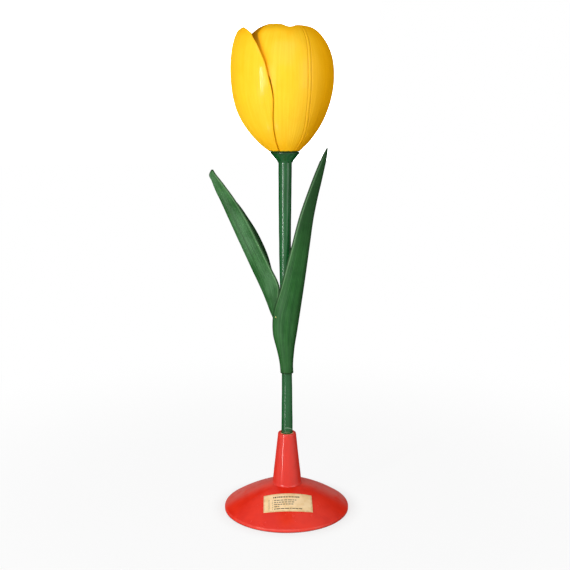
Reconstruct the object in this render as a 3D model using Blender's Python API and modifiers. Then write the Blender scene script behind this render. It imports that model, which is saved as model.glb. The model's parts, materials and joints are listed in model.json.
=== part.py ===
# Botanical model of a tulip, six tepals round six stamens and a pistil, on a stem that stands in a
# turned base. Metres, +Z up. The origin is the centre of the underside and -Y is the front.
# An azimuth is measured at the flower's axis from the front (-Y) towards +X, in degrees.

import bpy
import bmesh
import numpy as np
from math import atan, atan2, cos, degrees, hypot, pi, radians, sin, tan
from mathutils import Vector

# Clearances
SEAT_GAP = 0.0003
BORE_CLEARANCE = 0.0003
SEAM_GAP = 0.0005

# Base
BASE_RADIUS = 0.080
BASE_EDGE_HEIGHT = 0.0036
BASE_EDGE_ROUND = 0.0012
BASE_SLOPE = 0.487
BASE_SWELL = 0.0020
NECK_FOOT_RADIUS = 0.0187
NECK_TOP_RADIUS = 0.0115
NECK_HEIGHT = 0.0677
NECK_EDGE_ROUND = 0.0012
NECK_TENON_RADIUS = 0.0125
NECK_TENON_LENGTH = 0.020
SOCKET_END_GAP = 0.0006
LABEL_WIDTH = 0.0620
LABEL_DEPTH = 0.0285
LABEL_THICKNESS = 0.0004
LABEL_RADIUS = 0.0412
LABEL_TURN = 1.5

# Stem
STEM_FOOT_RADIUS = 0.0072
STEM_WAIST_RADIUS = 0.0064
STEM_TOP_RADIUS = 0.0080
STEM_INSERTION = 0.055
STEM_VISIBLE_LENGTH = 0.3432
STEM_WAIST_HEIGHT = 0.075
STEM_BEND = 0.0024
STEM_BEND_START = 0.060
STEM_BEND_LENGTH = 0.200
STEM_SHOULDER_RISE = 0.0001
STEM_TENON_RADIUS = 0.0060
STEM_TENON_LENGTH = 0.0110

# Receptacle
CUP_HEIGHT = 0.0124
CUP_RIM_RADIUS = 0.0178
CUP_RIM_THICKNESS = 0.0010
BOSS_RADIUS = 0.0104
BOSS_HEIGHT = 0.0135
BOSS_ROUND = 0.0020

# Tepals
CUP_CLAW_RADIUS = 0.0171
CUP_BELLY_RADIUS = 0.0584
CUP_MOUTH_RADIUS = 0.0250
CUP_LENGTH = 0.148
OUTER_THICKNESS = 0.0024
PROUD_CLAW_RADIUS = 0.0186
PROUD_BELLY_RADIUS = 0.0655
PROUD_LENGTH = 0.1439
PROUD_SHOULDER_DROP = 0.0085
PROUD_AZIMUTH = -84.0
PROUD_HALF_ANGLE = 69.5
PROUD_TIP_POWER = 2.3
PROUD_EDGE_POWER = 2.4
PROUD_EDGE_STAND = 0.0120
SHOULDER_BULGE = 0.0044
SHOULDER_BULGE_AZIMUTHS = (-20.0, -60.0)
SHOULDER_BULGE_SHARES = (0.60, 0.85)
SHOULDER_DROP = 0.16
SHOULDER_DROP_AZIMUTHS = (-42.0, -60.0)
UNDERLAP = 20.0
BACK_SEAM_AZIMUTH = 98.0
NOTCH_AZIMUTH = 6.0
NOTCH_HALF_WIDTH = 11.0
NOTCH_DEPTH = 0.05
RIGHT_LOBE_DROP = 0.015
INNER_CLAW_RADIUS = 0.0129
INNER_BELLY_RADIUS = 0.0520
INNER_THICKNESS = 0.0020
INNER_LENGTH = 0.130
INNER_TIP_DROP = 0.012
INNER_HALF_ANGLE = 43.0
INNER_AZIMUTHS = {"front": -24.0, "right": 96.0, "left": -144.0}

# Tepal pins
PIN_RADIUS = 0.0012
PIN_HEIGHT = 0.0046
PIN_LIFT_ANGLE = 12.0
PIN_INNER_RADIUS = 0.0056
PIN_BITE = 0.0018

# Stamens and pistil
STAMEN_COUNT = 6
FILAMENT_RING_RADIUS = 0.0077
FILAMENT_RADIUS = 0.0013
FILAMENT_TIP_RADIUS = 0.0008
FILAMENT_LENGTH = 0.047
FILAMENT_LEAN = 12.0
FILAMENT_INSERTION = 0.0042
ANTHER_LENGTH = 0.031
ANTHER_RADIUS = 0.0034
ANTHER_SOCKET = 0.005
ANTHER_WALL = 0.0007
OVARY_HEIGHT = 0.062
OVARY_FOOT_RADIUS = 0.0042
OVARY_RADIUS = 0.0074
OVARY_NECK_RADIUS = 0.0056
STIGMA_RADIUS = 0.0098
STIGMA_HEIGHT = 0.0100
STIGMA_PEG_RADIUS = 0.0022
STIGMA_PEG_LENGTH = 0.0050
PISTIL_PIN_RADIUS = 0.0014
PISTIL_PIN_LENGTH = 0.016
PISTIL_PIN_DEPTH = 0.0085

# Leaves
LEAF_THICKNESS = 0.0013
LEAF_CLEARANCE = 0.0004
SHEATH_SHARE = 0.10
LEAF_RIGHT_HEIGHT = 0.0787
LEAF_RIGHT_LENGTH = 0.283
LEAF_RIGHT_REACH = 0.0502
LEAF_RIGHT_FORWARD = 0.0200
LEAF_RIGHT_HALF_WIDTH = 0.0162
LEAF_LEFT_HEIGHT = 0.104
LEAF_LEFT_LENGTH = 0.2295
LEAF_LEFT_FACING = -120.0
LEAF_LEFT_WRAP = 85.0
LEAF_KEEL_REACH = 0.0906
LEAF_KEEL_BACK = 0.0180
LEAF_NEAR_WIDTH = 0.0250
LEAF_FAR_WIDTH = 0.0282
LEAF_KEEL_ROUND = 0.14
LEAF_BOW = 0.09
LEAF_OPENING_SHARES = (0.02, 0.24)

# Heights worked out from the sizes above
base_top = BASE_EDGE_HEIGHT + BASE_SLOPE * (BASE_RADIUS - NECK_FOOT_RADIUS)
neck_top = base_top + NECK_HEIGHT
neck_bore_radius = STEM_FOOT_RADIUS + BORE_CLEARANCE
stem_foot = neck_top - STEM_INSERTION
stem_top = neck_top + STEM_VISIBLE_LENGTH
cup_foot = stem_top + SEAT_GAP
cup_top = cup_foot + CUP_HEIGHT
boss_top = cup_top + BOSS_HEIGHT
claw_foot = cup_top + SEAT_GAP
stem_tenon_top = stem_top + STEM_TENON_LENGTH
flower_x = -STEM_BEND

# Finishes: colour, roughness, metallic
FINISHES = {
    "red_enamel": ((0.70, 0.035, 0.022), 0.30, 0.0),
    "cream_paper": ((0.78, 0.60, 0.34), 0.70, 0.0),
    "green_enamel": ((0.028, 0.110, 0.045), 0.28, 0.0),
    "leaf_enamel": ((0.045, 0.150, 0.060), 0.45, 0.0),
    "yellow_lacquer": ((0.93, 0.62, 0.03), 0.30, 0.0),
    "filament_green": ((0.62, 0.66, 0.30), 0.45, 0.0),
    "anther_purple": ((0.045, 0.020, 0.045), 0.55, 0.0),
    "ovary_green": ((0.42, 0.55, 0.16), 0.40, 0.0),
    "stigma_cream": ((0.80, 0.68, 0.30), 0.50, 0.0),
    "brass": ((0.72, 0.50, 0.20), 0.35, 1.0),
}

parts = bpy.data.collections.new("tulip_model")
cutters = bpy.data.collections.new("cutters")


def clear_scene():
    for item in list(bpy.data.objects):
        bpy.data.objects.remove(item, do_unlink=True)
    bpy.context.scene.collection.children.link(parts)
    bpy.context.scene.collection.children.link(cutters)


def finish(name):
    found = bpy.data.materials.get(name)
    if found:
        return found
    colour, roughness, metallic = FINISHES[name]
    found = bpy.data.materials.new(name)
    found.use_nodes = True
    shader = found.node_tree.nodes["Principled BSDF"]
    shader.inputs["Base Color"].default_value = (*colour, 1.0)
    shader.inputs["Roughness"].default_value = roughness
    shader.inputs["Metallic"].default_value = metallic
    return found


def add_object(name, data, surface):
    made = bpy.data.objects.new(name, data)
    parts.objects.link(made)
    data.materials.append(finish(surface))
    return made


# Smooth curve through stations: a cubic between each two, with the neighbours' mean slope
def through(stations, at):
    places = np.array([station[0] for station in stations], dtype=float)
    values = np.array([station[1] for station in stations], dtype=float)
    steps = np.diff(places)
    slopes = np.diff(values) / steps
    tangents = np.empty_like(values)
    tangents[0] = slopes[0]
    tangents[-1] = slopes[-1]
    tangents[1:-1] = (slopes[:-1] * steps[1:] + slopes[1:] * steps[:-1]) / (steps[:-1] + steps[1:])
    at = float(np.clip(at, places[0], places[-1]))
    i = min(int(np.searchsorted(places, at, side="right")) - 1, len(steps) - 1)
    h = steps[i]
    s = (at - places[i]) / h
    return float(
        values[i] * (1 + 2 * s) * (1 - s) ** 2
        + tangents[i] * h * s * (1 - s) ** 2
        + values[i + 1] * s * s * (3 - 2 * s)
        + tangents[i + 1] * h * s * s * (s - 1)
    )


def ease(start, end, at):
    s = min(max((at - start) / (end - start), 0.0), 1.0)
    return s * s * (3 - 2 * s)


def polar(azimuth, radius, z):
    angle = radians(azimuth)
    return Vector((flower_x + radius * sin(angle), -radius * cos(angle), z))


# A turned piece: profile points are (radius, height), from the top down the outside and back up
def turned(name, profile, surface, steps, x=0.0):
    mesh = bpy.data.meshes.new(name)
    points = [(radius, 0.0, z) for radius, z in profile]
    edges = [(i, i + 1) for i in range(len(points) - 1)]
    if profile[0][0] > 0 and profile[-1][0] > 0:
        edges.append((len(points) - 1, 0))
    mesh.from_pydata(points, edges, [])
    made = add_object(name, mesh, surface)
    made.location.x = x
    screw = made.modifiers.new("Turn", "SCREW")
    screw.steps = steps
    screw.render_steps = steps
    screw.use_merge_vertices = True
    screw.merge_threshold = 0.00005
    return made


def arc(centre_radius, centre_z, size, first, last, count):
    turns = np.radians(np.linspace(first, last, count))
    return [(centre_radius + size * float(np.cos(t)), centre_z + size * float(np.sin(t))) for t in turns]


# A shell: a grid whose across and along run from 0 to 1, laid out by a function, then thickened
def shell(name, place, columns, rows, thickness, surface):
    mesh = bpy.data.meshes.new(name)
    sheet = bmesh.new()
    bmesh.ops.create_grid(sheet, x_segments=columns, y_segments=rows, size=1.0)
    for vertex in sheet.verts:
        vertex.co = place((vertex.co.x + 1) / 2, (vertex.co.y + 1) / 2)
    sheet.to_mesh(mesh)
    sheet.free()
    mesh.shade_smooth()
    made = add_object(name, mesh, surface)
    solidify = made.modifiers.new("Wall", "SOLIDIFY")
    solidify.thickness = thickness
    solidify.offset = -1.0
    return made


# A rod through points with a radius at each, welded into one mesh
def rod(name, points, radii, surface, resolution=2):
    curve = bpy.data.curves.new(name, "CURVE")
    curve.dimensions = "3D"
    curve.bevel_depth = 1.0
    curve.bevel_resolution = resolution
    curve.use_fill_caps = True
    line = curve.splines.new("POLY")
    line.points.add(len(points) - 1)
    for point, place, radius in zip(line.points, points, radii):
        point.co = (*place, 1.0)
        point.radius = radius
    guide = bpy.data.objects.new(name + "_curve", curve)
    parts.objects.link(guide)
    view = bpy.context.evaluated_depsgraph_get()
    mesh = bpy.data.meshes.new_from_object(guide.evaluated_get(view))
    bpy.data.objects.remove(guide, do_unlink=True)
    welded = bmesh.new()
    welded.from_mesh(mesh)
    bmesh.ops.remove_doubles(welded, verts=welded.verts, dist=0.00001)
    bmesh.ops.recalc_face_normals(welded, faces=welded.faces)
    welded.to_mesh(mesh)
    welded.free()
    mesh.name = name
    mesh.materials.clear()
    return add_object(name, mesh, surface)


def cylinder_mesh(name, radius, length):
    mesh = bpy.data.meshes.new(name)
    body = bmesh.new()
    bmesh.ops.create_cone(body, cap_ends=True, segments=12, radius1=radius, radius2=radius, depth=length)
    body.to_mesh(mesh)
    body.free()
    return mesh


def lay_between(item, start, end):
    item.rotation_mode = "QUATERNION"
    item.rotation_quaternion = (end - start).to_track_quat("Z", "Y")
    item.location = (start + end) / 2


def pin(name, start, end, radius, surface):
    made = add_object(name, cylinder_mesh(name, radius, (end - start).length), surface)
    lay_between(made, start, end)


# A round hole through each body given, from one point to another
def drill(name, bodies, start, end, radius):
    cutter = bpy.data.objects.new(name, cylinder_mesh(name, radius, (end - start).length))
    cutters.objects.link(cutter)
    cutter.hide_render = True
    cutter.display_type = "WIRE"
    lay_between(cutter, start, end)
    for body in bodies:
        cut = body.modifiers.new(name, "BOOLEAN")
        cut.operation = "DIFFERENCE"
        cut.object = cutter


# Height of the dome's upper face: a cone that swells a little, most halfway down
def dome_height(radius):
    share = (radius - NECK_FOOT_RADIUS) / (BASE_RADIUS - NECK_FOOT_RADIUS)
    swell = BASE_SWELL * 4 * share * (1 - share)
    return BASE_EDGE_HEIGHT + BASE_SLOPE * (BASE_RADIUS - radius) + swell


def make_base():
    socket_radius = NECK_TENON_RADIUS + BORE_CLEARANCE
    socket_floor = base_top - NECK_TENON_LENGTH - SOCKET_END_GAP
    edge = BASE_EDGE_ROUND
    profile = [(0.0, socket_floor), (socket_radius, socket_floor), (socket_radius, base_top)]
    for radius in np.linspace(NECK_FOOT_RADIUS, BASE_RADIUS - edge, 7):
        profile.append((float(radius), dome_height(float(radius))))
    profile += arc(BASE_RADIUS - edge, BASE_EDGE_HEIGHT - edge, edge, 40, 0, 3)
    profile += arc(BASE_RADIUS - edge, edge, edge, 0, -90, 4)
    profile.append((0.0, 0.0))
    turned("base_dome", profile, "red_enamel", steps=64)

    foot = base_top + SEAT_GAP
    edge = NECK_EDGE_ROUND
    bore_floor = stem_foot - SEAT_GAP
    profile = [(0.0, bore_floor), (neck_bore_radius, bore_floor), (neck_bore_radius, neck_top)]
    profile += arc(NECK_TOP_RADIUS - edge, neck_top - edge, edge, 90, 5, 4)
    profile.append((NECK_FOOT_RADIUS, foot))
    profile.append((NECK_TENON_RADIUS, foot))
    profile.append((NECK_TENON_RADIUS, base_top - NECK_TENON_LENGTH))
    profile.append((0.0, base_top - NECK_TENON_LENGTH))
    turned("base_neck", profile, "red_enamel", steps=40)


# The label is a flat sheet bent round the cone: distances from the cone's apex stay true
def make_label():
    tilt = atan(BASE_SLOPE)
    middle = LABEL_RADIUS / cos(tilt)
    raised = (SEAT_GAP + LABEL_THICKNESS) / cos(tilt)

    def place(across, along):
        x = (across - 0.5) * LABEL_WIDTH
        y = middle + (0.5 - along) * LABEL_DEPTH
        reach = hypot(x, y) * cos(tilt)
        turn = atan2(x, y) / cos(tilt) + radians(LABEL_TURN)
        return Vector((reach * sin(turn), -reach * cos(turn), dome_height(reach) + raised))

    shell("base_label", place, 10, 3, LABEL_THICKNESS, "cream_paper")


def stem_x(z):
    start = neck_top + STEM_BEND_START
    return -STEM_BEND * ease(start, start + STEM_BEND_LENGTH, z)


def stem_radius(z):
    waist = neck_top + STEM_WAIST_HEIGHT
    stations = [
        (stem_foot, STEM_FOOT_RADIUS),
        (neck_top, STEM_FOOT_RADIUS),
        (waist, STEM_WAIST_RADIUS),
        (waist + 0.62 * (stem_top - waist), 0.5 * (STEM_WAIST_RADIUS + STEM_TOP_RADIUS)),
        (stem_top, STEM_TOP_RADIUS),
    ]
    return through(stations, z)


def make_stem():
    heights = [stem_foot] + list(np.linspace(neck_top, stem_top, 16))
    points = [Vector((stem_x(z), 0.0, z)) for z in heights]
    radii = [stem_radius(z) for z in heights]
    for z in (stem_top + STEM_SHOULDER_RISE, stem_tenon_top):
        points.append(Vector((flower_x, 0.0, z)))
        radii.append(STEM_TENON_RADIUS)
    rod("stem", points, radii, "green_enamel", resolution=6)


def make_receptacle():
    tenon_bore = STEM_TENON_RADIUS + BORE_CLEARANCE
    profile = [(0.0, boss_top)]
    profile += arc(BOSS_RADIUS - BOSS_ROUND, boss_top - BOSS_ROUND, BOSS_ROUND, 90, 0, 4)
    profile.append((BOSS_RADIUS, cup_top))
    profile.append((CUP_RIM_RADIUS, cup_top))
    profile.append((CUP_RIM_RADIUS, cup_top - CUP_RIM_THICKNESS))
    profile.append((STEM_TOP_RADIUS, cup_foot))
    profile.append((tenon_bore, cup_foot))
    profile.append((tenon_bore, stem_tenon_top + SEAT_GAP))
    profile.append((0.0, stem_tenon_top + SEAT_GAP))
    return turned("receptacle", profile, "green_enamel", steps=36, x=flower_x)


# Meridian of the cup that the wide tepals share, from claw (0) to mouth (1)
def cup_meridian(along):
    radius = [
        (0.00, CUP_CLAW_RADIUS),
        (0.10, 0.50 * CUP_BELLY_RADIUS),
        (0.25, 0.75 * CUP_BELLY_RADIUS),
        (0.40, 0.92 * CUP_BELLY_RADIUS),
        (0.58, CUP_BELLY_RADIUS),
        (0.72, 0.95 * CUP_BELLY_RADIUS),
        (0.84, 0.80 * CUP_BELLY_RADIUS),
        (0.92, 0.64 * CUP_BELLY_RADIUS),
        (1.00, CUP_MOUTH_RADIUS),
    ]
    height = [
        (0.00, 0.0),
        (0.10, 0.085 * CUP_LENGTH),
        (0.25, 0.228 * CUP_LENGTH),
        (0.40, 0.391 * CUP_LENGTH),
        (0.58, 0.598 * CUP_LENGTH),
        (0.72, 0.760 * CUP_LENGTH),
        (0.84, 0.887 * CUP_LENGTH),
        (0.92, 0.956 * CUP_LENGTH),
        (1.00, CUP_LENGTH),
    ]
    return through(radius, along), through(height, along)


# Radius of the proud tepal at its middle and at its edges, by height above the claws
def proud_middle(height):
    shares = [
        (0.00, PROUD_CLAW_RADIUS / PROUD_BELLY_RADIUS),
        (0.06, 0.455),
        (0.16, 0.660),
        (0.29, 0.842),
        (0.42, 0.942),
        (0.55, 0.987),
        (0.67, 1.000),
        (0.78, 0.985),
        (0.87, 0.952),
        (0.94, 0.905),
        (0.975, 0.856),
        (1.00, 0.765),
    ]
    return PROUD_BELLY_RADIUS * through(shares, height / PROUD_LENGTH)


def proud_edge(height):
    stand = [(0.0, 0.042), (0.45, 0.083), (0.58, 0.267), (0.74, 0.333), (0.84, 0.467), (0.94, 1.0)]
    share = height / PROUD_LENGTH
    return cup_radius(height) + PROUD_EDGE_STAND * through(stand, share)


def cup_radius(height):
    low = 0.0
    high = 1.0
    for _ in range(24):
        middle = (low + high) / 2
        if cup_meridian(middle)[1] < height:
            low = middle
        else:
            high = middle
    return cup_meridian(low)[0]


def proud_half_angle(height):
    shares = [
        (0.00, 0.870),
        (0.24, 0.945),
        (0.46, 1.000),
        (0.60, 0.948),
        (0.74, 0.863),
        (0.84, 0.738),
        (0.94, 0.575),
    ]
    return PROUD_HALF_ANGLE * through(shares, height / PROUD_LENGTH)


def place_proud(across, along):
    side = 2 * across - 1
    length = PROUD_LENGTH - PROUD_SHOULDER_DROP * abs(side) ** PROUD_TIP_POWER
    height = length * along
    edge_height = (PROUD_LENGTH - PROUD_SHOULDER_DROP) * along
    blend = abs(side) ** PROUD_EDGE_POWER
    radius = proud_middle(height) * (1 - blend) + proud_edge(edge_height) * blend
    azimuth = PROUD_AZIMUTH + side * proud_half_angle(edge_height)
    return polar(azimuth, radius, claw_foot + height)


# Side edge of a wide tepal: beside the proud tepal below, and under it higher up
def tucked_azimuth(along):
    radius, height = cup_meridian(along)
    under = UNDERLAP * ease(0.58 * PROUD_LENGTH, 0.74 * PROUD_LENGTH, height)
    return PROUD_AZIMUTH + proud_half_angle(height) + degrees(SEAM_GAP / radius) - under


def place_wide(across, along, mirrored, far_seam):
    if mirrored:
        across = 1 - across
    far = far_seam - degrees(SEAM_GAP / 2 / CUP_CLAW_RADIUS)
    rim_azimuth = tucked_azimuth(1.0) * (1 - across) + far * across
    notch = NOTCH_DEPTH * np.exp(-(((rim_azimuth - NOTCH_AZIMUTH) / NOTCH_HALF_WIDTH) ** 2))
    shoulder = SHOULDER_DROP * ease(*SHOULDER_DROP_AZIMUTHS, rim_azimuth)
    lobe = RIGHT_LOBE_DROP * ease(NOTCH_AZIMUTH, NOTCH_AZIMUTH + 2 * NOTCH_HALF_WIDTH, rim_azimuth)
    along = along * (1 - notch - shoulder - lobe)
    radius, height = cup_meridian(along)
    azimuth = tucked_azimuth(along) * (1 - across) + far * across
    radius += SHOULDER_BULGE * ease(*SHOULDER_BULGE_AZIMUTHS, azimuth) * ease(*SHOULDER_BULGE_SHARES, along)
    if mirrored:
        azimuth = 2 * PROUD_AZIMUTH - azimuth
    return polar(azimuth, radius, claw_foot + height)


def place_inner(across, along, middle):
    side = 2 * across - 1
    height = (INNER_LENGTH - INNER_TIP_DROP * abs(side) ** 1.5) * along
    share = height / INNER_LENGTH
    radius = through(
        [
            (0.00, INNER_CLAW_RADIUS),
            (0.07, 0.37 * INNER_BELLY_RADIUS),
            (0.16, 0.57 * INNER_BELLY_RADIUS),
            (0.28, 0.76 * INNER_BELLY_RADIUS),
            (0.43, 0.92 * INNER_BELLY_RADIUS),
            (0.62, INNER_BELLY_RADIUS),
            (0.77, 0.98 * INNER_BELLY_RADIUS),
            (0.89, 0.89 * INNER_BELLY_RADIUS),
            (1.00, 0.73 * INNER_BELLY_RADIUS),
        ],
        share,
    )
    spread = through([(0.0, 0.82), (0.3, 0.93), (0.6, 1.0), (0.8, 0.86), (0.92, 0.56), (1.0, 0.30)], along)
    return polar(middle + side * spread * INNER_HALF_ANGLE, radius, claw_foot + height)


# Where a wall's inner face crosses a height, measured on its middle meridian
def inner_face_radius(place, thickness, z):
    face = []
    for along in np.linspace(0.0, 0.3, 61):
        here = place(0.5, along)
        ahead = place(0.5, along + 0.005)
        radius = hypot(here.x - flower_x, here.y)
        step_out = hypot(ahead.x - flower_x, ahead.y) - radius
        step_up = ahead.z - here.z
        size = hypot(step_out, step_up)
        face.append((here.z + thickness * step_out / size, radius - thickness * step_up / size))
    return through(face, z)


def make_tepals(receptacle):
    def place_right(across, along):
        return place_wide(across, along, False, BACK_SEAM_AZIMUTH)

    def place_back(across, along):
        return place_wide(across, along, True, 2 * PROUD_AZIMUTH - BACK_SEAM_AZIMUTH + 360)

    outer = {"front_left": place_proud, "front_right": place_right, "back": place_back}
    for name, place in outer.items():
        tepal = shell("tepal_" + name, place, 14, 15, OUTER_THICKNESS, "yellow_lacquer")
        pin_tepal(name, [tepal, receptacle], place, OUTER_THICKNESS)
    for name, azimuth in INNER_AZIMUTHS.items():

        def place(across, along, middle=azimuth):
            return place_inner(across, along, middle)

        tepal = shell("tepal_inner_" + name, place, 9, 11, INNER_THICKNESS, "yellow_lacquer")
        pin_tepal("inner_" + name, [tepal, receptacle], place, INNER_THICKNESS)


# The pin stands in a blind hole in the claw and slides in a hole in the boss
def pin_tepal(name, bodies, place, thickness):
    z = claw_foot + PIN_HEIGHT
    middle = place(0.5, 0.05)
    azimuth = degrees(atan2(middle.x - flower_x, -middle.y))
    outer = inner_face_radius(place, thickness, z) + PIN_BITE
    drop = (outer - PIN_INNER_RADIUS) * tan(radians(PIN_LIFT_ANGLE))
    start = polar(azimuth, PIN_INNER_RADIUS, z - drop)
    end = polar(azimuth, outer, z)
    pin("pin_" + name, start, end, PIN_RADIUS, "brass")
    spare = (end - start).normalized() * SEAT_GAP
    drill("pin_hole_" + name, bodies, start - spare, end + spare, PIN_RADIUS + BORE_CLEARANCE)


def make_stamens(receptacle):
    for number in range(STAMEN_COUNT):
        azimuth = PROUD_AZIMUTH + 360 / STAMEN_COUNT * number
        foot = polar(azimuth, FILAMENT_RING_RADIUS, boss_top)
        tip = polar(
            azimuth,
            FILAMENT_RING_RADIUS + FILAMENT_LENGTH * sin(radians(FILAMENT_LEAN)),
            boss_top + FILAMENT_LENGTH * cos(radians(FILAMENT_LEAN)),
        )
        along = (tip - foot).normalized()
        bottom = foot - along * FILAMENT_INSERTION
        label = str(number + 1)
        points = []
        radii = []
        for share in (0.0, 0.33, 0.67, 1.0):
            points.append(bottom.lerp(tip, share))
            radii.append(FILAMENT_RADIUS + (FILAMENT_TIP_RADIUS - FILAMENT_RADIUS) * share)
        rod("filament_" + label, points, radii, "filament_green")
        hole_start = bottom - along * SEAT_GAP
        hole_end = foot + along * BOSS_ROUND
        hole_radius = FILAMENT_RADIUS + BORE_CLEARANCE
        drill("filament_hole_" + label, [receptacle], hole_start, hole_end, hole_radius)
        make_anther("anther_" + label, tip, along)


# An anther is a spindle with a blind hole below, pushed on the filament's tip
def make_anther(name, tip, along):
    hole = FILAMENT_TIP_RADIUS + 2 * BORE_CLEARANCE
    profile = [(0.0, ANTHER_LENGTH)]
    for turn in (35, 65, 90, 120):
        height = ANTHER_LENGTH * (0.5 + 0.46 * cos(radians(turn)))
        profile.append((ANTHER_RADIUS * sin(radians(turn)) ** 0.6, height))
    profile.append((hole + ANTHER_WALL, 0.0))
    profile.append((hole, 0.0))
    profile.append((hole, ANTHER_SOCKET))
    profile.append((0.0, ANTHER_SOCKET))
    made = turned(name, profile, "anther_purple", steps=10)
    made.rotation_mode = "QUATERNION"
    made.rotation_quaternion = along.to_track_quat("Z", "Y")
    made.location = tip - along * (ANTHER_SOCKET - SEAT_GAP)


def make_pistil(receptacle):
    foot = boss_top + SEAT_GAP
    top = foot + OVARY_HEIGHT
    pin_hole = PISTIL_PIN_RADIUS + BORE_CLEARANCE
    pin_top = foot + PISTIL_PIN_LENGTH - PISTIL_PIN_DEPTH
    peg_hole = STIGMA_PEG_RADIUS + BORE_CLEARANCE
    shape = [
        (0.00, OVARY_FOOT_RADIUS),
        (0.18, 0.86 * OVARY_RADIUS),
        (0.45, OVARY_RADIUS),
        (0.75, 0.94 * OVARY_RADIUS),
        (1.00, OVARY_NECK_RADIUS),
    ]
    peg_floor = top - STIGMA_PEG_LENGTH - SEAT_GAP
    profile = [(0.0, peg_floor), (peg_hole, peg_floor), (peg_hole, top)]
    for share in np.linspace(1.0, 0.0, 8):
        profile.append((through(shape, share), foot + float(share) * OVARY_HEIGHT))
    profile += [(pin_hole, foot), (pin_hole, pin_top + SEAT_GAP), (0.0, pin_top + SEAT_GAP)]
    turned("ovary", profile, "ovary_green", steps=18, x=flower_x)

    stigma_foot = top + SEAT_GAP
    profile = [(0.0, stigma_foot + 0.8 * STIGMA_HEIGHT)]
    profile.append((0.55 * STIGMA_RADIUS, stigma_foot + STIGMA_HEIGHT))
    profile.append((0.92 * STIGMA_RADIUS, stigma_foot + 0.92 * STIGMA_HEIGHT))
    profile.append((STIGMA_RADIUS, stigma_foot + 0.62 * STIGMA_HEIGHT))
    profile.append((0.80 * STIGMA_RADIUS, stigma_foot + 0.30 * STIGMA_HEIGHT))
    profile.append((OVARY_NECK_RADIUS, stigma_foot))
    profile.append((STIGMA_PEG_RADIUS, stigma_foot))
    profile.append((STIGMA_PEG_RADIUS, top - STIGMA_PEG_LENGTH))
    profile.append((0.0, top - STIGMA_PEG_LENGTH))
    turned("stigma", profile, "stigma_cream", steps=18, x=flower_x)

    bottom = Vector((flower_x, 0.0, boss_top - PISTIL_PIN_DEPTH))
    end = Vector((flower_x, 0.0, pin_top))
    pin("pistil_pin", bottom, end, PISTIL_PIN_RADIUS, "brass")
    below = bottom - Vector((0, 0, SEAT_GAP))
    above = Vector((flower_x, 0.0, boss_top + BOSS_ROUND))
    drill("pistil_pin_hole", [receptacle], below, above, PISTIL_PIN_RADIUS + BORE_CLEARANCE)


# The right leaf is laid out in level sections, each an arc: its chord's middle from the stem, its half
# chord, its half angle and the azimuth of its back, by share of the length.
def place_right_leaf(across, along):
    z = neck_top + LEAF_RIGHT_HEIGHT + LEAF_RIGHT_LENGTH * along
    x = LEAF_RIGHT_REACH * through(
        [(0, 0), (0.10, -0.024), (0.18, -0.036), (0.25, -0.004), (0.40, 0.177),
         (0.57, 0.373), (0.71, 0.526), (0.86, 0.759), (1, 1)],
        along,
    )
    y = -LEAF_RIGHT_FORWARD * through([(0, 0), (0.10, 0.10), (0.25, 0.175), (0.50, 0.475), (1, 1)], along)
    half = LEAF_RIGHT_HALF_WIDTH * through(
        [(0, 0.50), (0.10, 0.636), (0.18, 0.895), (0.25, 1), (0.40, 0.858),
         (0.57, 0.673), (0.78, 0.463), (0.91, 0.272), (1, 0.025)],
        along,
    )
    wrap = radians(through([(0, 100), (0.10, 80), (0.18, 62), (0.30, 50), (0.6, 34), (1, 20)], along))
    facing = radians(through([(0, 0), (0.4, 4), (1, 14)], along))
    sheath = stem_radius(neck_top + LEAF_RIGHT_HEIGHT) + LEAF_CLEARANCE + LEAF_THICKNESS
    free = ease(0.0, SHEATH_SHARE, along)
    half = sheath * (1 - free) + half * free
    size = half / sin(min(wrap, pi / 2))
    out = Vector((sin(facing), -cos(facing), 0.0))
    side = Vector((cos(facing), sin(facing), 0.0))
    middle = Vector((stem_x(z) + x, y, z)) + out * sheath * cos(wrap) * (1 - free)
    turn = (2 * across - 1) * wrap
    return middle + out * size * (cos(turn) - cos(wrap)) + side * size * sin(turn)


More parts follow.
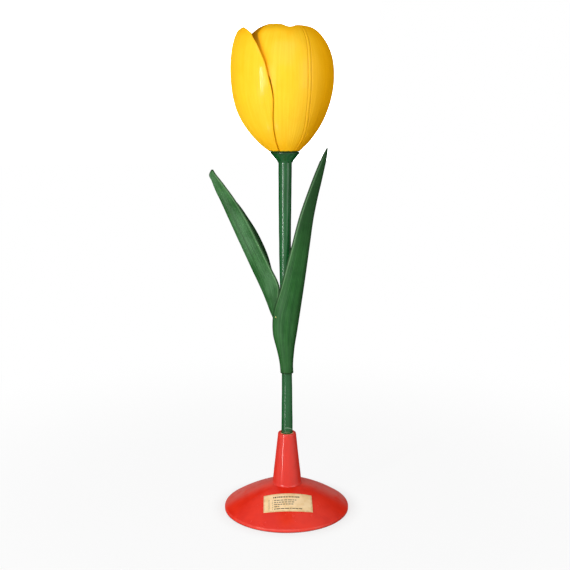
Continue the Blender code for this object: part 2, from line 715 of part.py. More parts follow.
# The left leaf is folded along its keel: the keel's place from the stem, and how far each margin lies
# from the keel, near the front or far from it, by share of the length.
def place_left_leaf(across, along):
    z = neck_top + LEAF_LEFT_HEIGHT + LEAF_LEFT_LENGTH * along
    stem = Vector((stem_x(z), 0.0, z))
    keel_x = -LEAF_KEEL_REACH * through(
        [(0, 0.088), (0.13, 0.152), (0.22, 0.212), (0.31, 0.293), (0.49, 0.492),
         (0.67, 0.697), (0.82, 0.868), (0.92, 0.980), (0.97, 1.009), (1, 1)],
        along,
    )
    keel_y = LEAF_KEEL_BACK * through(
        [(0, 0.222), (0.22, 0.333), (0.31, 0.389), (0.5, 0.528), (1, 1)], along
    )
    near_x = LEAF_NEAR_WIDTH * through(
        [(0, 0.12), (0.13, 0.30), (0.22, 0.48), (0.31, 0.76), (0.37, 1), (0.49, 1),
         (0.60, 0.904), (0.74, 0.848), (0.82, 0.728), (0.92, 0.512), (0.97, 0.256), (1, 0.032)],
        along,
    )
    near_y = -LEAF_NEAR_WIDTH * through(
        [(0, 0.40), (0.22, 0.48), (0.30, 0.452), (0.37, 0.468), (0.6, 0.34), (1, 0.056)], along
    )
    far_x = LEAF_FAR_WIDTH * through(
        [(0, 0.426), (0.22, 0.603), (0.37, 0.780), (0.45, 0.858), (0.53, 0.975), (0.60, 1),
         (0.67, 0.965), (0.74, 0.851), (0.82, 0.667), (0.92, 0.106), (0.97, -0.106), (1, -0.028)],
        along,
    )
    far_y = LEAF_FAR_WIDTH * through(
        [(0, 0.142), (0.22, 0.177), (0.6, 0.234), (0.92, 0.213), (1, 0.035)], along
    )
    near = Vector((near_x, near_y, 0.0))
    far = Vector((far_x, far_y, 0.0))
    # A hyperbola with its two arms along the halves of the leaf
    end_weight = (hypot(1.0, LEAF_KEEL_ROUND) + 1) / 2
    share = LEAF_KEEL_ROUND / 2 / end_weight
    inset = (near + far) * share / (1 - 2 * share)
    keel = stem + Vector((keel_x, keel_y, 0.0)) - inset
    near += inset
    far += inset
    s = 2 * across - 1
    near_weight = (hypot(s, LEAF_KEEL_ROUND) + s) / 2 / end_weight
    far_weight = (hypot(s, LEAF_KEEL_ROUND) - s) / 2 / end_weight
    bow = LEAF_BOW * 4 * abs(s) * (1 - abs(s))
    if s > 0:
        arched = Vector((near.y, -near.x, 0.0)) * bow
    else:
        arched = Vector((-far.y, far.x, 0.0)) * bow
    folded = keel + near * near_weight + far * far_weight + arched
    sheath = stem_radius(neck_top + LEAF_LEFT_HEIGHT) + LEAF_CLEARANCE + LEAF_THICKNESS
    turn = radians(LEAF_LEFT_FACING + s * LEAF_LEFT_WRAP)
    wrapped = stem + Vector((sin(turn), -cos(turn), 0.0)) * sheath
    return wrapped.lerp(folded, ease(*LEAF_OPENING_SHARES, along))


def make_leaves():
    shell("leaf_right", place_right_leaf, 8, 22, LEAF_THICKNESS, "leaf_enamel")
    shell("leaf_left", place_left_leaf, 12, 22, LEAF_THICKNESS, "leaf_enamel")


def main():
    clear_scene()
    make_base()
    make_label()
    make_stem()
    receptacle = make_receptacle()
    make_tepals(receptacle)
    make_stamens(receptacle)
    make_pistil(receptacle)
    make_leaves()


main()
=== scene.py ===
# Looks of the botanical tulip model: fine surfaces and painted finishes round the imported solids.
# Metres, +Z up, the front is -Y. An azimuth is measured at the flower's axis from the front towards +X.

import json
from math import atan, cos, pi, radians, sin, sqrt

import bmesh
import bpy
import numpy as np
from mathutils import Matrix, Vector

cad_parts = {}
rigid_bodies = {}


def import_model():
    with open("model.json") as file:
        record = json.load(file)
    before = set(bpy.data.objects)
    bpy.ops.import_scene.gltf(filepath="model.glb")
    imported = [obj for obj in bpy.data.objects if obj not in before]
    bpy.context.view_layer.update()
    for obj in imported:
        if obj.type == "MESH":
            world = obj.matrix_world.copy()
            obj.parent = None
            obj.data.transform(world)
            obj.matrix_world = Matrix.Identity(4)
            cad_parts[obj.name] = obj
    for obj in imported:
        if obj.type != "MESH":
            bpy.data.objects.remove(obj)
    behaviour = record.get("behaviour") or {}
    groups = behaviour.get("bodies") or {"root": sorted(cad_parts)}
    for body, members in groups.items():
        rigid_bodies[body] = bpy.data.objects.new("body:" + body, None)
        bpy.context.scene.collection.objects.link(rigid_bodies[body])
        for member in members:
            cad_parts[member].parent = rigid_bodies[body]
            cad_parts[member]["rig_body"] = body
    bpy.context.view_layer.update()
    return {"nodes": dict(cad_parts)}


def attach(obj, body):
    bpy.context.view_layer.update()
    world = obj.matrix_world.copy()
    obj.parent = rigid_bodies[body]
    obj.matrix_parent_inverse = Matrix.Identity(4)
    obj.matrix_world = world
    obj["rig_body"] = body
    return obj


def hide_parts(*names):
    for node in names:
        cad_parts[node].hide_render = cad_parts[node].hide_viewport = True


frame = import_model()


# Smooth step from 0 to 1 between two values: three squares less two cubes
def easeBetween(start, end, at):
    share = np.clip((at - start) / (end - start), 0.0, 1.0)
    return share * share * (3 - 2 * share)


# A hump of 1 that falls off as a bell curve over a width
def bell(away, width):
    return np.exp(-((away / width) ** 2))


# Smooth curve through stations (place, value): a cubic between each two, with the neighbours' mean slope
def curveThrough(stations, at):
    places, values = np.array(stations, dtype=float).T
    steps = np.diff(places)
    slopes = np.diff(values) / steps
    inner = (slopes[:-1] * steps[1:] + slopes[1:] * steps[:-1]) / (steps[:-1] + steps[1:])
    tangents = np.concatenate([slopes[:1], inner, slopes[-1:]])
    at = np.clip(np.asarray(at, dtype=float), places[0], places[-1])
    i = np.clip(np.searchsorted(places, at, side="right") - 1, 0, len(steps) - 1)
    h = steps[i]
    s = (at - places[i]) / h
    fromLeft = values[i] * (1 + 2 * s) * (1 - s) ** 2 + tangents[i] * h * s * (1 - s) ** 2
    return fromLeft + values[i + 1] * s * s * (3 - 2 * s) + tangents[i + 1] * h * s * s * (s - 1)


# Soft unevenness of about -1 to 1: a sum of plane waves in random directions, of about the given length
def unevenness(points, length, seed, waves=10):
    dice = np.random.default_rng(seed)
    total = np.zeros(points.shape[:-1])
    for _ in range(waves):
        direction = dice.normal(size=3)
        direction *= 2 * pi / (length * dice.uniform(0.7, 1.5)) / np.linalg.norm(direction)
        total += np.sin(points @ direction + dice.uniform(0, 2 * pi))
    return total / sqrt(waves)


# Grid lines from 0 to 1: even ones, a few close to both ends where an edge turns round, and any extra ones
def gridLines(count, edgeShare, extra=()):
    close = edgeShare * np.array([0.04, 0.14, 0.30, 0.52, 0.78, 1.1])
    return np.unique(np.round(np.concatenate([np.linspace(0, 1, count), close, 1 - close, extra]), 6))


# Puts data into the scene as an object
def addObject(name, data):
    made = bpy.data.objects.new(name, data)
    bpy.context.scene.collection.objects.link(made)
    return made


def pointsOf(mesh):
    points = np.zeros(len(mesh.vertices) * 3)
    mesh.vertices.foreach_get("co", points)
    return points.reshape(-1, 3)


# Makes a piece of points and faces that rides on a node's body. One with a slot also stands for the node.
def makePiece(node, points, faceSets, finish, slotName, fields=None, sharpAngle=None, label="fine"):
    mesh = bpy.data.meshes.new(node + "_" + label)
    corners = np.concatenate([faces.ravel() for faces in faceSets])
    sizes = np.concatenate([np.full(len(faces), faces.shape[1]) for faces in faceSets])
    mesh.vertices.add(len(points))
    mesh.vertices.foreach_set("co", points.astype(np.float32).ravel())
    mesh.loops.add(len(corners))
    mesh.loops.foreach_set("vertex_index", corners.astype(np.int32))
    mesh.polygons.add(len(sizes))
    mesh.polygons.foreach_set("loop_start", (np.cumsum(sizes) - sizes).astype(np.int32))
    mesh.update(calc_edges=True)
    mesh.shade_smooth()
    if sharpAngle:
        mesh.set_sharp_from_angle(angle=radians(sharpAngle))
    for name, values in (fields or {}).items():
        mesh.attributes.new(name, "FLOAT", "POINT").data.foreach_set("value", values.astype(np.float32))
    mesh.materials.append(finish)
    piece = addObject(mesh.name, mesh)
    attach(piece, frame["nodes"][node]["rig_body"])
    if slotName:
        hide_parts(node)


# Surface normals of a grid of points: the cross product of the two directions along the grid
def gridNormals(points, acrossLines, alongLines):
    normals = np.cross(np.gradient(points, acrossLines, axis=1), np.gradient(points, alongLines, axis=0))
    return normals / np.maximum(np.linalg.norm(normals, axis=-1, keepdims=True), 1e-12)


# Distance run along a grid from its first line
def runAlong(points, axis):
    steps = np.linalg.norm(np.diff(points, axis=axis), axis=-1)
    start = np.zeros_like(np.take(steps, [0], axis=axis))
    return np.concatenate([start, np.cumsum(steps, axis=axis)], axis=axis)


# A wall: place(across, along) is its outer face, on grid lines across and along. Half the thickness is
# laid on each side of the middle surface, and falls to nothing over the round of the edge as a power of the
# way in, so that both faces meet in a round rim.
def makeWall(node, place, grid, wall, finish, slotName, relief=None, marks=None):
    rimPower = 2.3
    half = wall["thickness"] / 2
    lines = [gridLines(*axis) for axis in grid]
    across, along = np.meshgrid(*lines)
    face = place(across, along)
    normals = gridNormals(face, *lines)
    runAcross = runAlong(face, 1)
    runUp = runAlong(face, 0)
    rim = np.minimum(runAcross, runAcross[:, -1:] - runAcross)
    rim = np.minimum(rim, np.minimum(runUp, runUp[-1:] - runUp))
    fromMiddle = runAcross - runAcross[:, [int(np.argmin(np.abs(lines[0] - 0.5)))]]
    fullness = (1 - (1 - np.clip(rim / wall["edgeRound"], 0, 1)) ** rimPower) ** (1 / rimPower)
    raised = relief(across, along, face, fromMiddle) * fullness if relief else np.zeros_like(rim)
    middle = face - normals * half
    outer = middle + normals * (fullness * half + raised)[..., None]
    inner = middle - normals * (fullness * half)[..., None]

    rows, columns = across.shape
    outerIndex = np.arange(rows * columns).reshape(rows, columns)
    innerIndex = outerIndex.copy()
    innerIndex[1:-1, 1:-1] = rows * columns + np.arange((rows - 2) * (columns - 2)).reshape(rows - 2, -1)
    quads = []
    for index, step in ((outerIndex, 1), (innerIndex, -1)):
        ring = np.stack([index[:-1, :-1], index[:-1, 1:], index[1:, 1:], index[1:, :-1]], -1)
        quads.append(ring.reshape(-1, 4)[:, ::step])

    fields = {"across": across, "along": along, "rim": rim, "fromMiddle": fromMiddle}
    fields.update(marks(face) if marks else {})
    fields = {name: np.append(values, values[1:-1, 1:-1]) for name, values in fields.items()}
    fields["outside"] = np.append(np.ones(rows * columns), np.zeros((rows - 2) * (columns - 2)))
    points = np.concatenate([outer.reshape(-1, 3), inner[1:-1, 1:-1].reshape(-1, 3)])
    makePiece(node, points, quads, finish, slotName, fields)


# Profile of a turned piece from corners (radius, height, round): the corners are rounded by quadratic
# curves, and straight runs are cut at the spacing. It runs from the top down the outside.
def softProfile(corners, spacing):
    mostOfRun = 0.48
    pointsInRound = 9
    runs = [np.array([corners[0][:2]])]
    for before, here, after in zip(corners, corners[1:], corners[2:]):
        corner = np.array(here[:2])
        back = np.array(before[:2]) - corner
        on = np.array(after[:2]) - corner
        reach = min(here[2], mostOfRun * np.linalg.norm(back), mostOfRun * np.linalg.norm(on))
        start = corner + back / np.linalg.norm(back) * reach
        end = corner + on / np.linalg.norm(on) * reach
        s = np.linspace(0, 1, pointsInRound if reach > 0 else 1)[:, None]
        runs.append((1 - s) ** 2 * start + 2 * s * (1 - s) * corner + s * s * end)
    runs.append(np.array([corners[-1][:2]]))
    line = np.vstack(runs)
    line = line[np.concatenate([[True], np.linalg.norm(np.diff(line, axis=0), axis=1) > 1e-7])]
    run = runAlong(line, 0)
    cuts = np.unique(np.round(np.concatenate([run, np.arange(0, run[-1], spacing)]), 7))
    cuts = cuts[np.concatenate([[True], np.diff(cuts) > 2e-6])]
    cuts[-1] = run[-1]
    return np.stack([np.interp(cuts, run, line[:, 0]), np.interp(cuts, run, line[:, 1])], axis=-1)


# Faces of rings laid one after the other from the top down, closed by a pole at each end
def ringFaces(ringCount, sides):
    index = 1 + np.arange(ringCount * sides).reshape(ringCount, sides)
    ahead = np.roll(index, -1, axis=1)
    quads = np.stack([index[:-1], index[1:], ahead[1:], ahead[:-1]], -1).reshape(-1, 4)
    top = np.stack([np.zeros(sides, dtype=int), index[0], ahead[0]], -1)
    bottom = np.stack([index[-1], np.full(sides, ringCount * sides + 1), ahead[-1]], -1)
    return [quads, np.concatenate([top, bottom])]


# A turned piece: each profile point goes round its axis, out by radius times the cosine and sine of the
# turn. A cut is the spacing along the profile and the number of sides. The lobes change the radius round
# the axis, and moved takes the points to their place.
def makeTurned(node, corners, cut, finish, slotName, sharpAngle, lobes=None, moved=None):
    spacing, sides = cut
    profile = softProfile(corners, spacing)
    turns = np.linspace(0, 2 * pi, sides, endpoint=False)
    radius = profile[1:-1, :1] * np.ones((1, sides))
    height = profile[1:-1, 1:] * np.ones((1, sides))
    if lobes:
        radius = lobes(radius, height, turns[None, :])
    rings = np.stack([radius * np.cos(turns), radius * np.sin(turns), height], -1)
    top, bottom = ([[0, 0, profile[end, 1]]] for end in (0, -1))
    points = np.concatenate([top, rings.reshape(-1, 3), bottom])
    if moved:
        points = moved(points)
    makePiece(node, points, ringFaces(len(profile) - 2, sides), finish, slotName, sharpAngle=sharpAngle)


# Pushes points straight out from the Z axis, each by its own amount
def pushOut(points, amount):
    reach = np.maximum(np.hypot(points[:, 0], points[:, 1]), 1e-6)
    points[:, :2] += points[:, :2] / reach[:, None] * amount[:, None]


# Short calls for building a finish out of nodes. The one being made is kept here, with its node tree.
making = {}


# Gives a socket its value, or links it to the socket that its value comes from
def feed(socket, value):
    if isinstance(value, bpy.types.NodeSocket):
        making["tree"].links.new(value, socket)
    elif socket.type == "RGBA":
        socket.default_value = (*value, 1.0)
    else:
        socket.default_value = value


def addNode(kind, inputs=None, **settings):
    made = making["tree"].nodes.new("ShaderNode" + kind)
    for name, value in settings.items():
        setattr(made, name, value)
    for name, value in (inputs or {}).items():
        feed(made.inputs[name], value)
    return made


def startFinish(name):
    finish = bpy.data.materials.new(name)
    finish.use_nodes = True
    making.update(finish=finish, tree=finish.node_tree)


# Closes the finish. A fade makes the gloss full where the surface faces the eye and nothing towards its
# edges, as on old matt lacquer. A bump is a height, its distance and its strength.
def endFinish(colour, roughness, gloss, fade=None, bump=None, others=None):
    if fade:
        facing = addNode("LayerWeight", {"Blend": 0.5}).outputs["Facing"]
        gloss = spread(facing, *fade, gloss, 0.0)
    values = {"Base Color": colour, "Roughness": roughness, "Specular IOR Level": gloss, **(others or {})}
    if bump:
        bumped = addNode("Bump", dict(zip(("Height", "Distance", "Strength"), bump)))
        values["Normal"] = bumped.outputs["Normal"]
    for name, value in values.items():
        feed(making["tree"].nodes["Principled BSDF"].inputs[name], value)
    return making["finish"]


def maths(operation, first, second=0.0):
    return addNode("Math", {0: first, 1: second}, operation=operation).outputs[0]


def times(first, *others):
    for other in others:
        first = maths("MULTIPLY", first, other)
    return first


# Eases a value from one range to another
def spread(value, low, high, toLow=0.0, toHigh=1.0):
    ranges = {"Value": value, "From Min": low, "From Max": high, "To Min": toLow, "To Max": toHigh}
    return addNode("MapRange", ranges, interpolation_type="SMOOTHSTEP").outputs["Result"]


def tint(amount, below, above):
    return addNode("Mix", {0: amount, 6: below, 7: above}, data_type="RGBA").outputs[2]


# Coats of paint over a colour, each with its amount
def coats(colour, *layers):
    for amount, paint in layers:
        colour = tint(amount, colour, paint)
    return colour


def objectPlace():
    return addNode("TexCoord").outputs["Object"]


def splitPlace():
    return addNode("SeparateXYZ", {"Vector": objectPlace()}).outputs


# Cloudy noise on the Object coordinates, which are metres, stretched by a scale for each axis
def grain(size, detail=3.0, stretch=(1, 1, 1), place=None):
    if place is None:
        place = objectPlace()
    scaled = addNode("Mapping", {"Vector": place, "Scale": stretch}).outputs["Vector"]
    inputs = {"Vector": scaled, "Scale": 1 / size, "Detail": detail, "Roughness": 0.55}
    return addNode("TexNoise", inputs).outputs["Fac"]


# Grain as a share from 0 to 1 between two of its levels, or between two other values
def mottle(size, detail, low, high, toLow=0.0, toHigh=1.0, stretch=(1, 1, 1)):
    return spread(grain(size, detail, stretch), low, high, toLow, toHigh)


def field(name):
    return addNode("Attribute", attribute_name=name).outputs["Fac"]


# A vector of two values, for patterns that follow a surface
def flatPlace(first, second):
    return addNode("CombineXYZ", {"X": first, "Y": second}).outputs["Vector"]


def lengthOf(vector):
    return addNode("VectorMath", {0: vector}, operation="LENGTH").outputs["Value"]


# Stand: a turned dome and its neck, painted red
standSizes = {
    "radius": 0.080,
    "edgeHeight": 0.0036,
    "edgeRound": 0.0012,
    "slope": 0.487,
    "swell": 0.0028,
    "rimShift": -0.0006,
    "neckFoot": 0.0187,
    "neckTop": 0.0115,
    "neckHeight": 0.0677,
    "neckRound": 0.0024,
    "footBead": 0.0007,
    "tenonRadius": 0.0125,
    "tenonLength": 0.020,
    "clearance": 0.0003,
    "socketEnd": 0.0006,
    "stemRadius": 0.0072,
    "stemInsertion": 0.055,
    "unevenness": 0.00006,
    "domeCut": (0.0011, 288),
    "neckCut": (0.0011, 160),
}
redPaint = {
    "deep": (0.70, 0.020, 0.008),
    "bright": (0.79, 0.030, 0.011),
    "neck": (0.66, 0.028, 0.016),
    "dustAndSheen": (0.62, 0.21, 0.18),
    "specks": (0.50, 0.10, 0.08),
    "wornRimAndHighlight": (0.80, 0.10, 0.07),
    "bareWood": (0.66, 0.46, 0.26),
    "underside": (0.16, 0.035, 0.020),
    "dustAndSheenFromTo": (-0.022, 0.008),
    "dustAndSheenAmount": 0.50,
    "rimFromTo": (0.0786, 0.0797),
    "gloss": 0.38,
    "glossFade": (0.12, 0.48),
    "sheen": 0.12,
    "sheenRoughness": 0.28,
}
baseTop = standSizes["edgeHeight"] + standSizes["slope"] * (standSizes["radius"] - standSizes["neckFoot"])
neckTop = baseTop + standSizes["neckHeight"]
stemFoot = neckTop - standSizes["stemInsertion"]


# The dome's upper face: a cone that swells a little, most halfway down
def domeHeight(radius):
    s = standSizes
    share = np.clip((radius - s["neckFoot"]) / (s["radius"] - s["neckFoot"]), 0, 1)
    swell = s["swell"] * 4 * share * (1 - share)
    return s["edgeHeight"] + s["slope"] * (s["radius"] - radius) + swell


# Red paint with dust and a painted sheen at the back, specks, a worn rim with a painted highlight along it,
# the neck painted deeper as painted shade, bare wood at the bore's lip and painted shade on the foot of the
# rim and the underside
def makeRedPaint():
    p = redPaint
    startFinish("redPaint")
    x, y, z = splitPlace()
    reach = maths("SQRT", maths("ADD", times(x, x), times(y, y)))
    colour = coats(
        tint(mottle(0.030, 4.0, 0.35, 0.65), p["deep"], p["bright"]),
        # pale dust over the back of the dome, which also stands for a painted sheen there
        (times(mottle(0.012, 6.0, 0.12, 0.58), spread(y, *p["dustAndSheenFromTo"], 0.0, p["dustAndSheenAmount"])), p["dustAndSheen"]),
        (mottle(0.0016, 2.0, 0.70, 0.78, 0.0, 0.35), p["specks"]),
        # a lighter band round the rim: wear, and a painted highlight along the edge
        (times(spread(reach, *p["rimFromTo"]), mottle(0.010, 4.0, 0.3, 0.6, 0.3, 1.0), 0.35), p["wornRimAndHighlight"]),
        # the neck painted a deeper red: painted shade that evens out the stronger light on the neck
        (times(spread(z, baseTop - 0.001, baseTop + 0.004), 0.75), p["neck"]),
        (times(spread(z, neckTop - 0.0022, neckTop - 0.0010), spread(reach, 0.0096, 0.0086),
               spread(y, -0.001, -0.005)), p["bareWood"]),
        # painted shade on the lowest part of the rim and on the underside
        (spread(z, 0.0013, 0.0004), p["underside"]),
    )
    scuffs = mottle(0.009, 5.0, 0.35, 0.75, 0.10, 0.19, stretch=(1, 1, 0.4))
    duller = spread(z, baseTop + 0.004, baseTop - 0.001, 0.0, 0.10)
    sheen = {"Sheen Weight": p["sheen"], "Sheen Roughness": p["sheenRoughness"]}
    bump = (grain(0.0022), 0.00005, 0.35)
    return endFinish(colour, maths("ADD", scuffs, duller), p["gloss"], p["glossFade"], bump, sheen)


def makeStand(finish):
    s = standSizes
    socketRadius = s["tenonRadius"] + s["clearance"]
    tenonEnd = baseTop - s["tenonLength"]
    socketFloor = tenonEnd - s["socketEnd"]
    foot = baseTop + s["clearance"]
    boreRadius = s["stemRadius"] + s["clearance"]
    boreFloor = stemFoot - s["clearance"]

    def settleDome(points):
        reach = np.hypot(points[:, 0], points[:, 1])
        onTop = easeBetween(0.012, 0.022, reach) * (points[:, 2] > 0.003)
        points[:, 2] += onTop * unevenness(points, 0.028, 3) * s["unevenness"]
        points[:, 0] += s["rimShift"] * easeBetween(0.6 * s["radius"], s["radius"], reach)
        return points

    def settleNeck(points):
        outside = np.hypot(points[:, 0], points[:, 1]) > 0.0105
        outside = outside * easeBetween(foot, foot + 0.004, points[:, 2])
        pushOut(points, outside * unevenness(points, 0.020, 4) * s["unevenness"])
        return points

    makeTurned("base_dome", [
        (0, socketFloor, 0),
        (socketRadius, socketFloor, 0),
        (socketRadius, baseTop, 0.0002),
        *[(r, float(domeHeight(r)), 0) for r in np.linspace(s["neckFoot"], s["radius"] - s["edgeRound"], 24)],
        (s["radius"], s["edgeHeight"] - 0.0004, 0.0010),
        (s["radius"], 0, 0.0006),
        (0, 0, 0),
    ], s["domeCut"], finish, "red_enamel", 40, moved=settleDome)
    makeTurned("base_neck", [
        (0, boreFloor, 0),
        (boreRadius, boreFloor, 0),
        (boreRadius, neckTop, 0.0004),
        (s["neckTop"] - 0.0001, neckTop, s["neckRound"]),
        (s["neckFoot"] - 0.0001, foot + 0.0012, 0.0012),
        (s["neckFoot"] + s["footBead"], foot - 0.0002, 0.0003),
        (s["tenonRadius"], foot, 0),
        (s["tenonRadius"], tenonEnd, 0.0003),
        (0, tenonEnd, 0),
    ], s["neckCut"], finish, "red_enamel", 40, moved=settleNeck)


makeStand(makeRedPaint())
print("stand made")


# Stem: a rod with a waist, a little bent, thicker to the top, with a tenon for the cup
stemSizes = {
    "waistRadius": 0.0065,
    "topRadius": 0.0082,
    "visibleLength": 0.3432,
    "waistHeight": 0.075,
    "bend": 0.0024,
    "bendStart": 0.060,
    "bendLength": 0.200,
    "waver": 0.0003,
    "tenonRadius": 0.0060,
    "tenonLength": 0.0110,
    "unevenness": 0.00007,
    "cut": (0.0016, 72),
}
# Receptacle: the green flared cup with the boss that carries the pins
cupSizes = {
    "height": 0.0124,
    "rimRadius": 0.0178,
    "rimThickness": 0.0010,
    "bossRadius": 0.0104,
    "bossHeight": 0.0135,
    "bossRound": 0.0020,
    "seat": 0.0003,
    "flare": [(0.90, 0.74), (0.75, 0.48), (0.62, 0.26), (0.530, 0.10), (0.478, -0.05)],
    "cut": (0.0008, 112),
}
greenPaint = {
    "deep": (0.004, 0.072, 0.013),
    "bright": (0.010, 0.102, 0.024),
    "worn": (0.30, 0.26, 0.14),
    "cupRimShade": (0.002, 0.030, 0.008),
    "scrape": (0.26, 0.42, 0.28),
    "scrapeHeight": 0.0078,
    "bareWood": (0.20, 0.15, 0.08),
    "gloss": 0.38,
    "glossFade": (0.05, 0.55),
}
stemTop = neckTop + stemSizes["visibleLength"]
flowerX = -stemSizes["bend"]
cupFoot = stemTop + cupSizes["seat"]
cupTop = cupFoot + cupSizes["height"]
bossTop = cupTop + cupSizes["bossHeight"]
clawFoot = cupTop + cupSizes["seat"]


# Sideways shift of the stem's axis at a height: a smooth step for the bend, and a parabola for the waver
def stemShift(z):
    start = neckTop + stemSizes["bendStart"]
    share = np.clip((z - start) / (stemTop - start), 0, 1)
    waver = stemSizes["waver"] * 4 * share * (1 - share)
    return -stemSizes["bend"] * easeBetween(start, start + stemSizes["bendLength"], z) - waver


# The stem's radius at a height: a smooth curve through the foot, the neck, the waist and the top
def stemRadius(z):
    s = stemSizes
    waist = neckTop + s["waistHeight"]
    return curveThrough([
        (stemFoot, standSizes["stemRadius"]),
        (neckTop, standSizes["stemRadius"]),
        (waist, s["waistRadius"]),
        (waist + 0.62 * (stemTop - waist), 0.5 * (s["waistRadius"] + s["topRadius"])),
        (stemTop, s["topRadius"]),
    ], z)


# Green paint in long streaks, worn at the neck, with painted shade on the cup rim under the tepals, a small
# bowed scrape and a bare foot
def makeGreenPaint():
    p = greenPaint
    startFinish("greenPaint")
    x, _, z = splitPlace()
    streaks = grain(0.0022, 3.0, (1, 1, 0.05))
    cloud = grain(0.022, 3.0, (1, 1, 0.35))
    amount = maths("ADD", times(streaks, 0.35), times(cloud, 0.65))
    bowed = times(x, x, -70.0)
    scrape = maths("ABSOLUTE", maths("SUBTRACT", maths("SUBTRACT", z, neckTop + p["scrapeHeight"]), bowed))
    wear = mottle(0.003, 4.0, 0.52, 0.62, stretch=(1, 1, 2))
    colour = coats(
        tint(spread(amount, 0.38, 0.62), p["deep"], p["bright"]),
        (times(wear, spread(z, neckTop + 0.006, neckTop + 0.0005), 0.35), p["worn"]),
        # painted shade on the top of the cup, under the tepals
        (times(spread(z, cupTop - 0.0030, cupTop - 0.0014), 0.55), p["cupRimShade"]),
        (times(spread(scrape, 0.0009, 0.0003), spread(x, -0.0028, -0.0012), 0.6), p["scrape"]),
        (spread(z, neckTop - 0.001, neckTop - 0.006), p["bareWood"]),
    )
    bump = (grain(0.0018, 3.0, (1, 1, 0.2)), 0.00004, 0.4)
    return endFinish(colour, spread(cloud, 0.3, 0.7, 0.12, 0.17), p["gloss"], p["glossFade"], bump)


def makeStem(finish):
    s = stemSizes
    tenonTop = stemTop + s["tenonLength"]
    foot = standSizes["stemRadius"]

    def bendStem(points):
        free = easeBetween(neckTop + 0.002, neckTop + 0.010, points[:, 2]) * (points[:, 2] < stemTop - 0.001)
        pushOut(points, free * (unevenness(points * [1, 1, 0.35], 0.012, 5) * s["unevenness"]))
        points[:, 0] += stemShift(points[:, 2])
        return points

    makeTurned("stem", [
        (0, tenonTop, 0),
        (s["tenonRadius"], tenonTop, 0.0003),
        (s["tenonRadius"], stemTop + 0.0001, 0),
        *[(float(stemRadius(z)), z, 0) for z in np.linspace(stemTop, stemFoot + 0.001, 60)],
        (foot, stemFoot, 0.0005),
        (0, stemFoot, 0),
    ], s["cut"], finish, "green_enamel", 40, moved=bendStem)


# Moves points from the Z axis to the flower's axis
def toFlower(points):
    return points + [flowerX, 0, 0]


def makeReceptacle(finish):
    s = cupSizes
    bore = stemSizes["tenonRadius"] + s["seat"]
    boreTop = stemTop + stemSizes["tenonLength"] + s["seat"]
    makeTurned("receptacle", [
        (0, bossTop, 0),
        (s["bossRadius"], bossTop, s["bossRound"]),
        (s["bossRadius"], cupTop, 0.0003),
        (s["rimRadius"], cupTop, 0.0004),
        (s["rimRadius"], cupTop - s["rimThickness"], 0.0007),
        *[(share * s["rimRadius"], cupFoot + climb * s["height"], 0.0008) for share, climb in s["flare"]],
        (bore, cupFoot, 0.0002),
        (bore, boreTop, 0),
        (0, boreTop, 0),
    ], s["cut"], finish, "green_enamel", 40, moved=toFlower)


greenFinish = makeGreenPaint()
makeStem(greenFinish)
print("stem made")
makeReceptacle(greenFinish)
print("receptacle made")


# Tepals: three outer ones that close the cup, the front left one proud of the others, and three inner ones.
# The outer ones have more grid lines beside the middle, for the grooves there. The widths of the painted
# shadow beside the proud tepal are the narrow one low down and what is added to it higher up.
tepalSizes = {
    "claw": 0.0171,
    "belly": 0.0587,
    "mouth": 0.0250,
    "length": 0.1488,
    "thickness": 0.0024,
    "edgeRound": 0.0008,
    "seamGap": 0.0005,
    "proudClaw": 0.0186,
    "proudBelly": 0.0655,
    "proudLength": 0.1455,
    "proudShoulderDrop": 0.0085,
    "proudAzimuth": -84.0,
    "proudHalfAngle": 69.5,
    "proudTipPower": 3.3,
    "proudEdgePower": 2.4,
    "bulge": 0.0044,
    "bulgeAzimuths": (-20.0, -60.0),
    "bulgeShares": (0.60, 0.85),
    "shoulderDrop": 0.16,
    "shoulderAzimuths": (-41.5, -60.0),
    "underlap": 20.0,
    "backSeam": 98.0,
    "notchAzimuth": 10.5,
    "notchHalfWidth": 14.0,
    "notchDepth": 0.05,
    "rightLobeDrop": 0.018,
    "rightFall": 0.030,
    "rightFallAzimuths": (38.0, 85.0),
    "ribAzimuths": [(0, 41.5), (0.10, 40.0), (0.35, 31.6), (0.60, 29.0), (1, 36.0)],
    "grooveSpacing": 0.0042,
    "grooveWidth": 0.00042,
    "grooveDepth": 0.00034,
    "ridge": 0.00022,
    "veins": 0.000028,
    "veinWidth": 0.045,
    "dents": 0.00014,
    "dentSize": 0.022,
    "seamShadowWidths": (0.0010, 0.0040),
    "gapShadeWidth": 0.0009,
    "grid": ((200, 0.010, 0.5 + np.linspace(-0.045, 0.045, 29)), (150, 0.008)),
}
innerSizes = {
    "claw": 0.0129,
    "belly": 0.0520,
    "thickness": 0.0020,
    "edgeRound": 0.0009,
    "length": 0.130,
    "tipDrop": 0.012,
    "halfAngle": 43.0,
    "azimuths": {"front": -24.0, "right": 96.0, "left": -144.0},
    "grid": ((110, 0.014), (110, 0.009)),
}


# A point at an azimuth, a distance and a height from the flower's axis
def atAzimuth(azimuth, radius, z):
    turn = np.radians(azimuth)
    return np.stack(np.broadcast_arrays(flowerX + radius * np.sin(turn), -radius * np.cos(turn), z), -1)


# Meridian of the cup of wide tepals, from claw (0) to mouth (1), as radius and height above the claw
def cupMeridian(along):
    t = tepalSizes
    shares = [(0.10, 0.50), (0.25, 0.75), (0.40, 0.92), (0.58, 1.0), (0.72, 0.95), (0.84, 0.80), (0.92, 0.64)]
    radius = [(0, t["claw"])] + [(at, share * t["belly"]) for at, share in shares] + [(1, t["mouth"])]
    climbs = [(0, 0), (0.10, 0.085), (0.25, 0.228), (0.40, 0.391), (0.58, 0.598), (0.72, 0.760),
              (0.84, 0.887), (0.92, 0.956), (1, 1)]
    return curveThrough(radius, along), t["length"] * curveThrough(climbs, along)


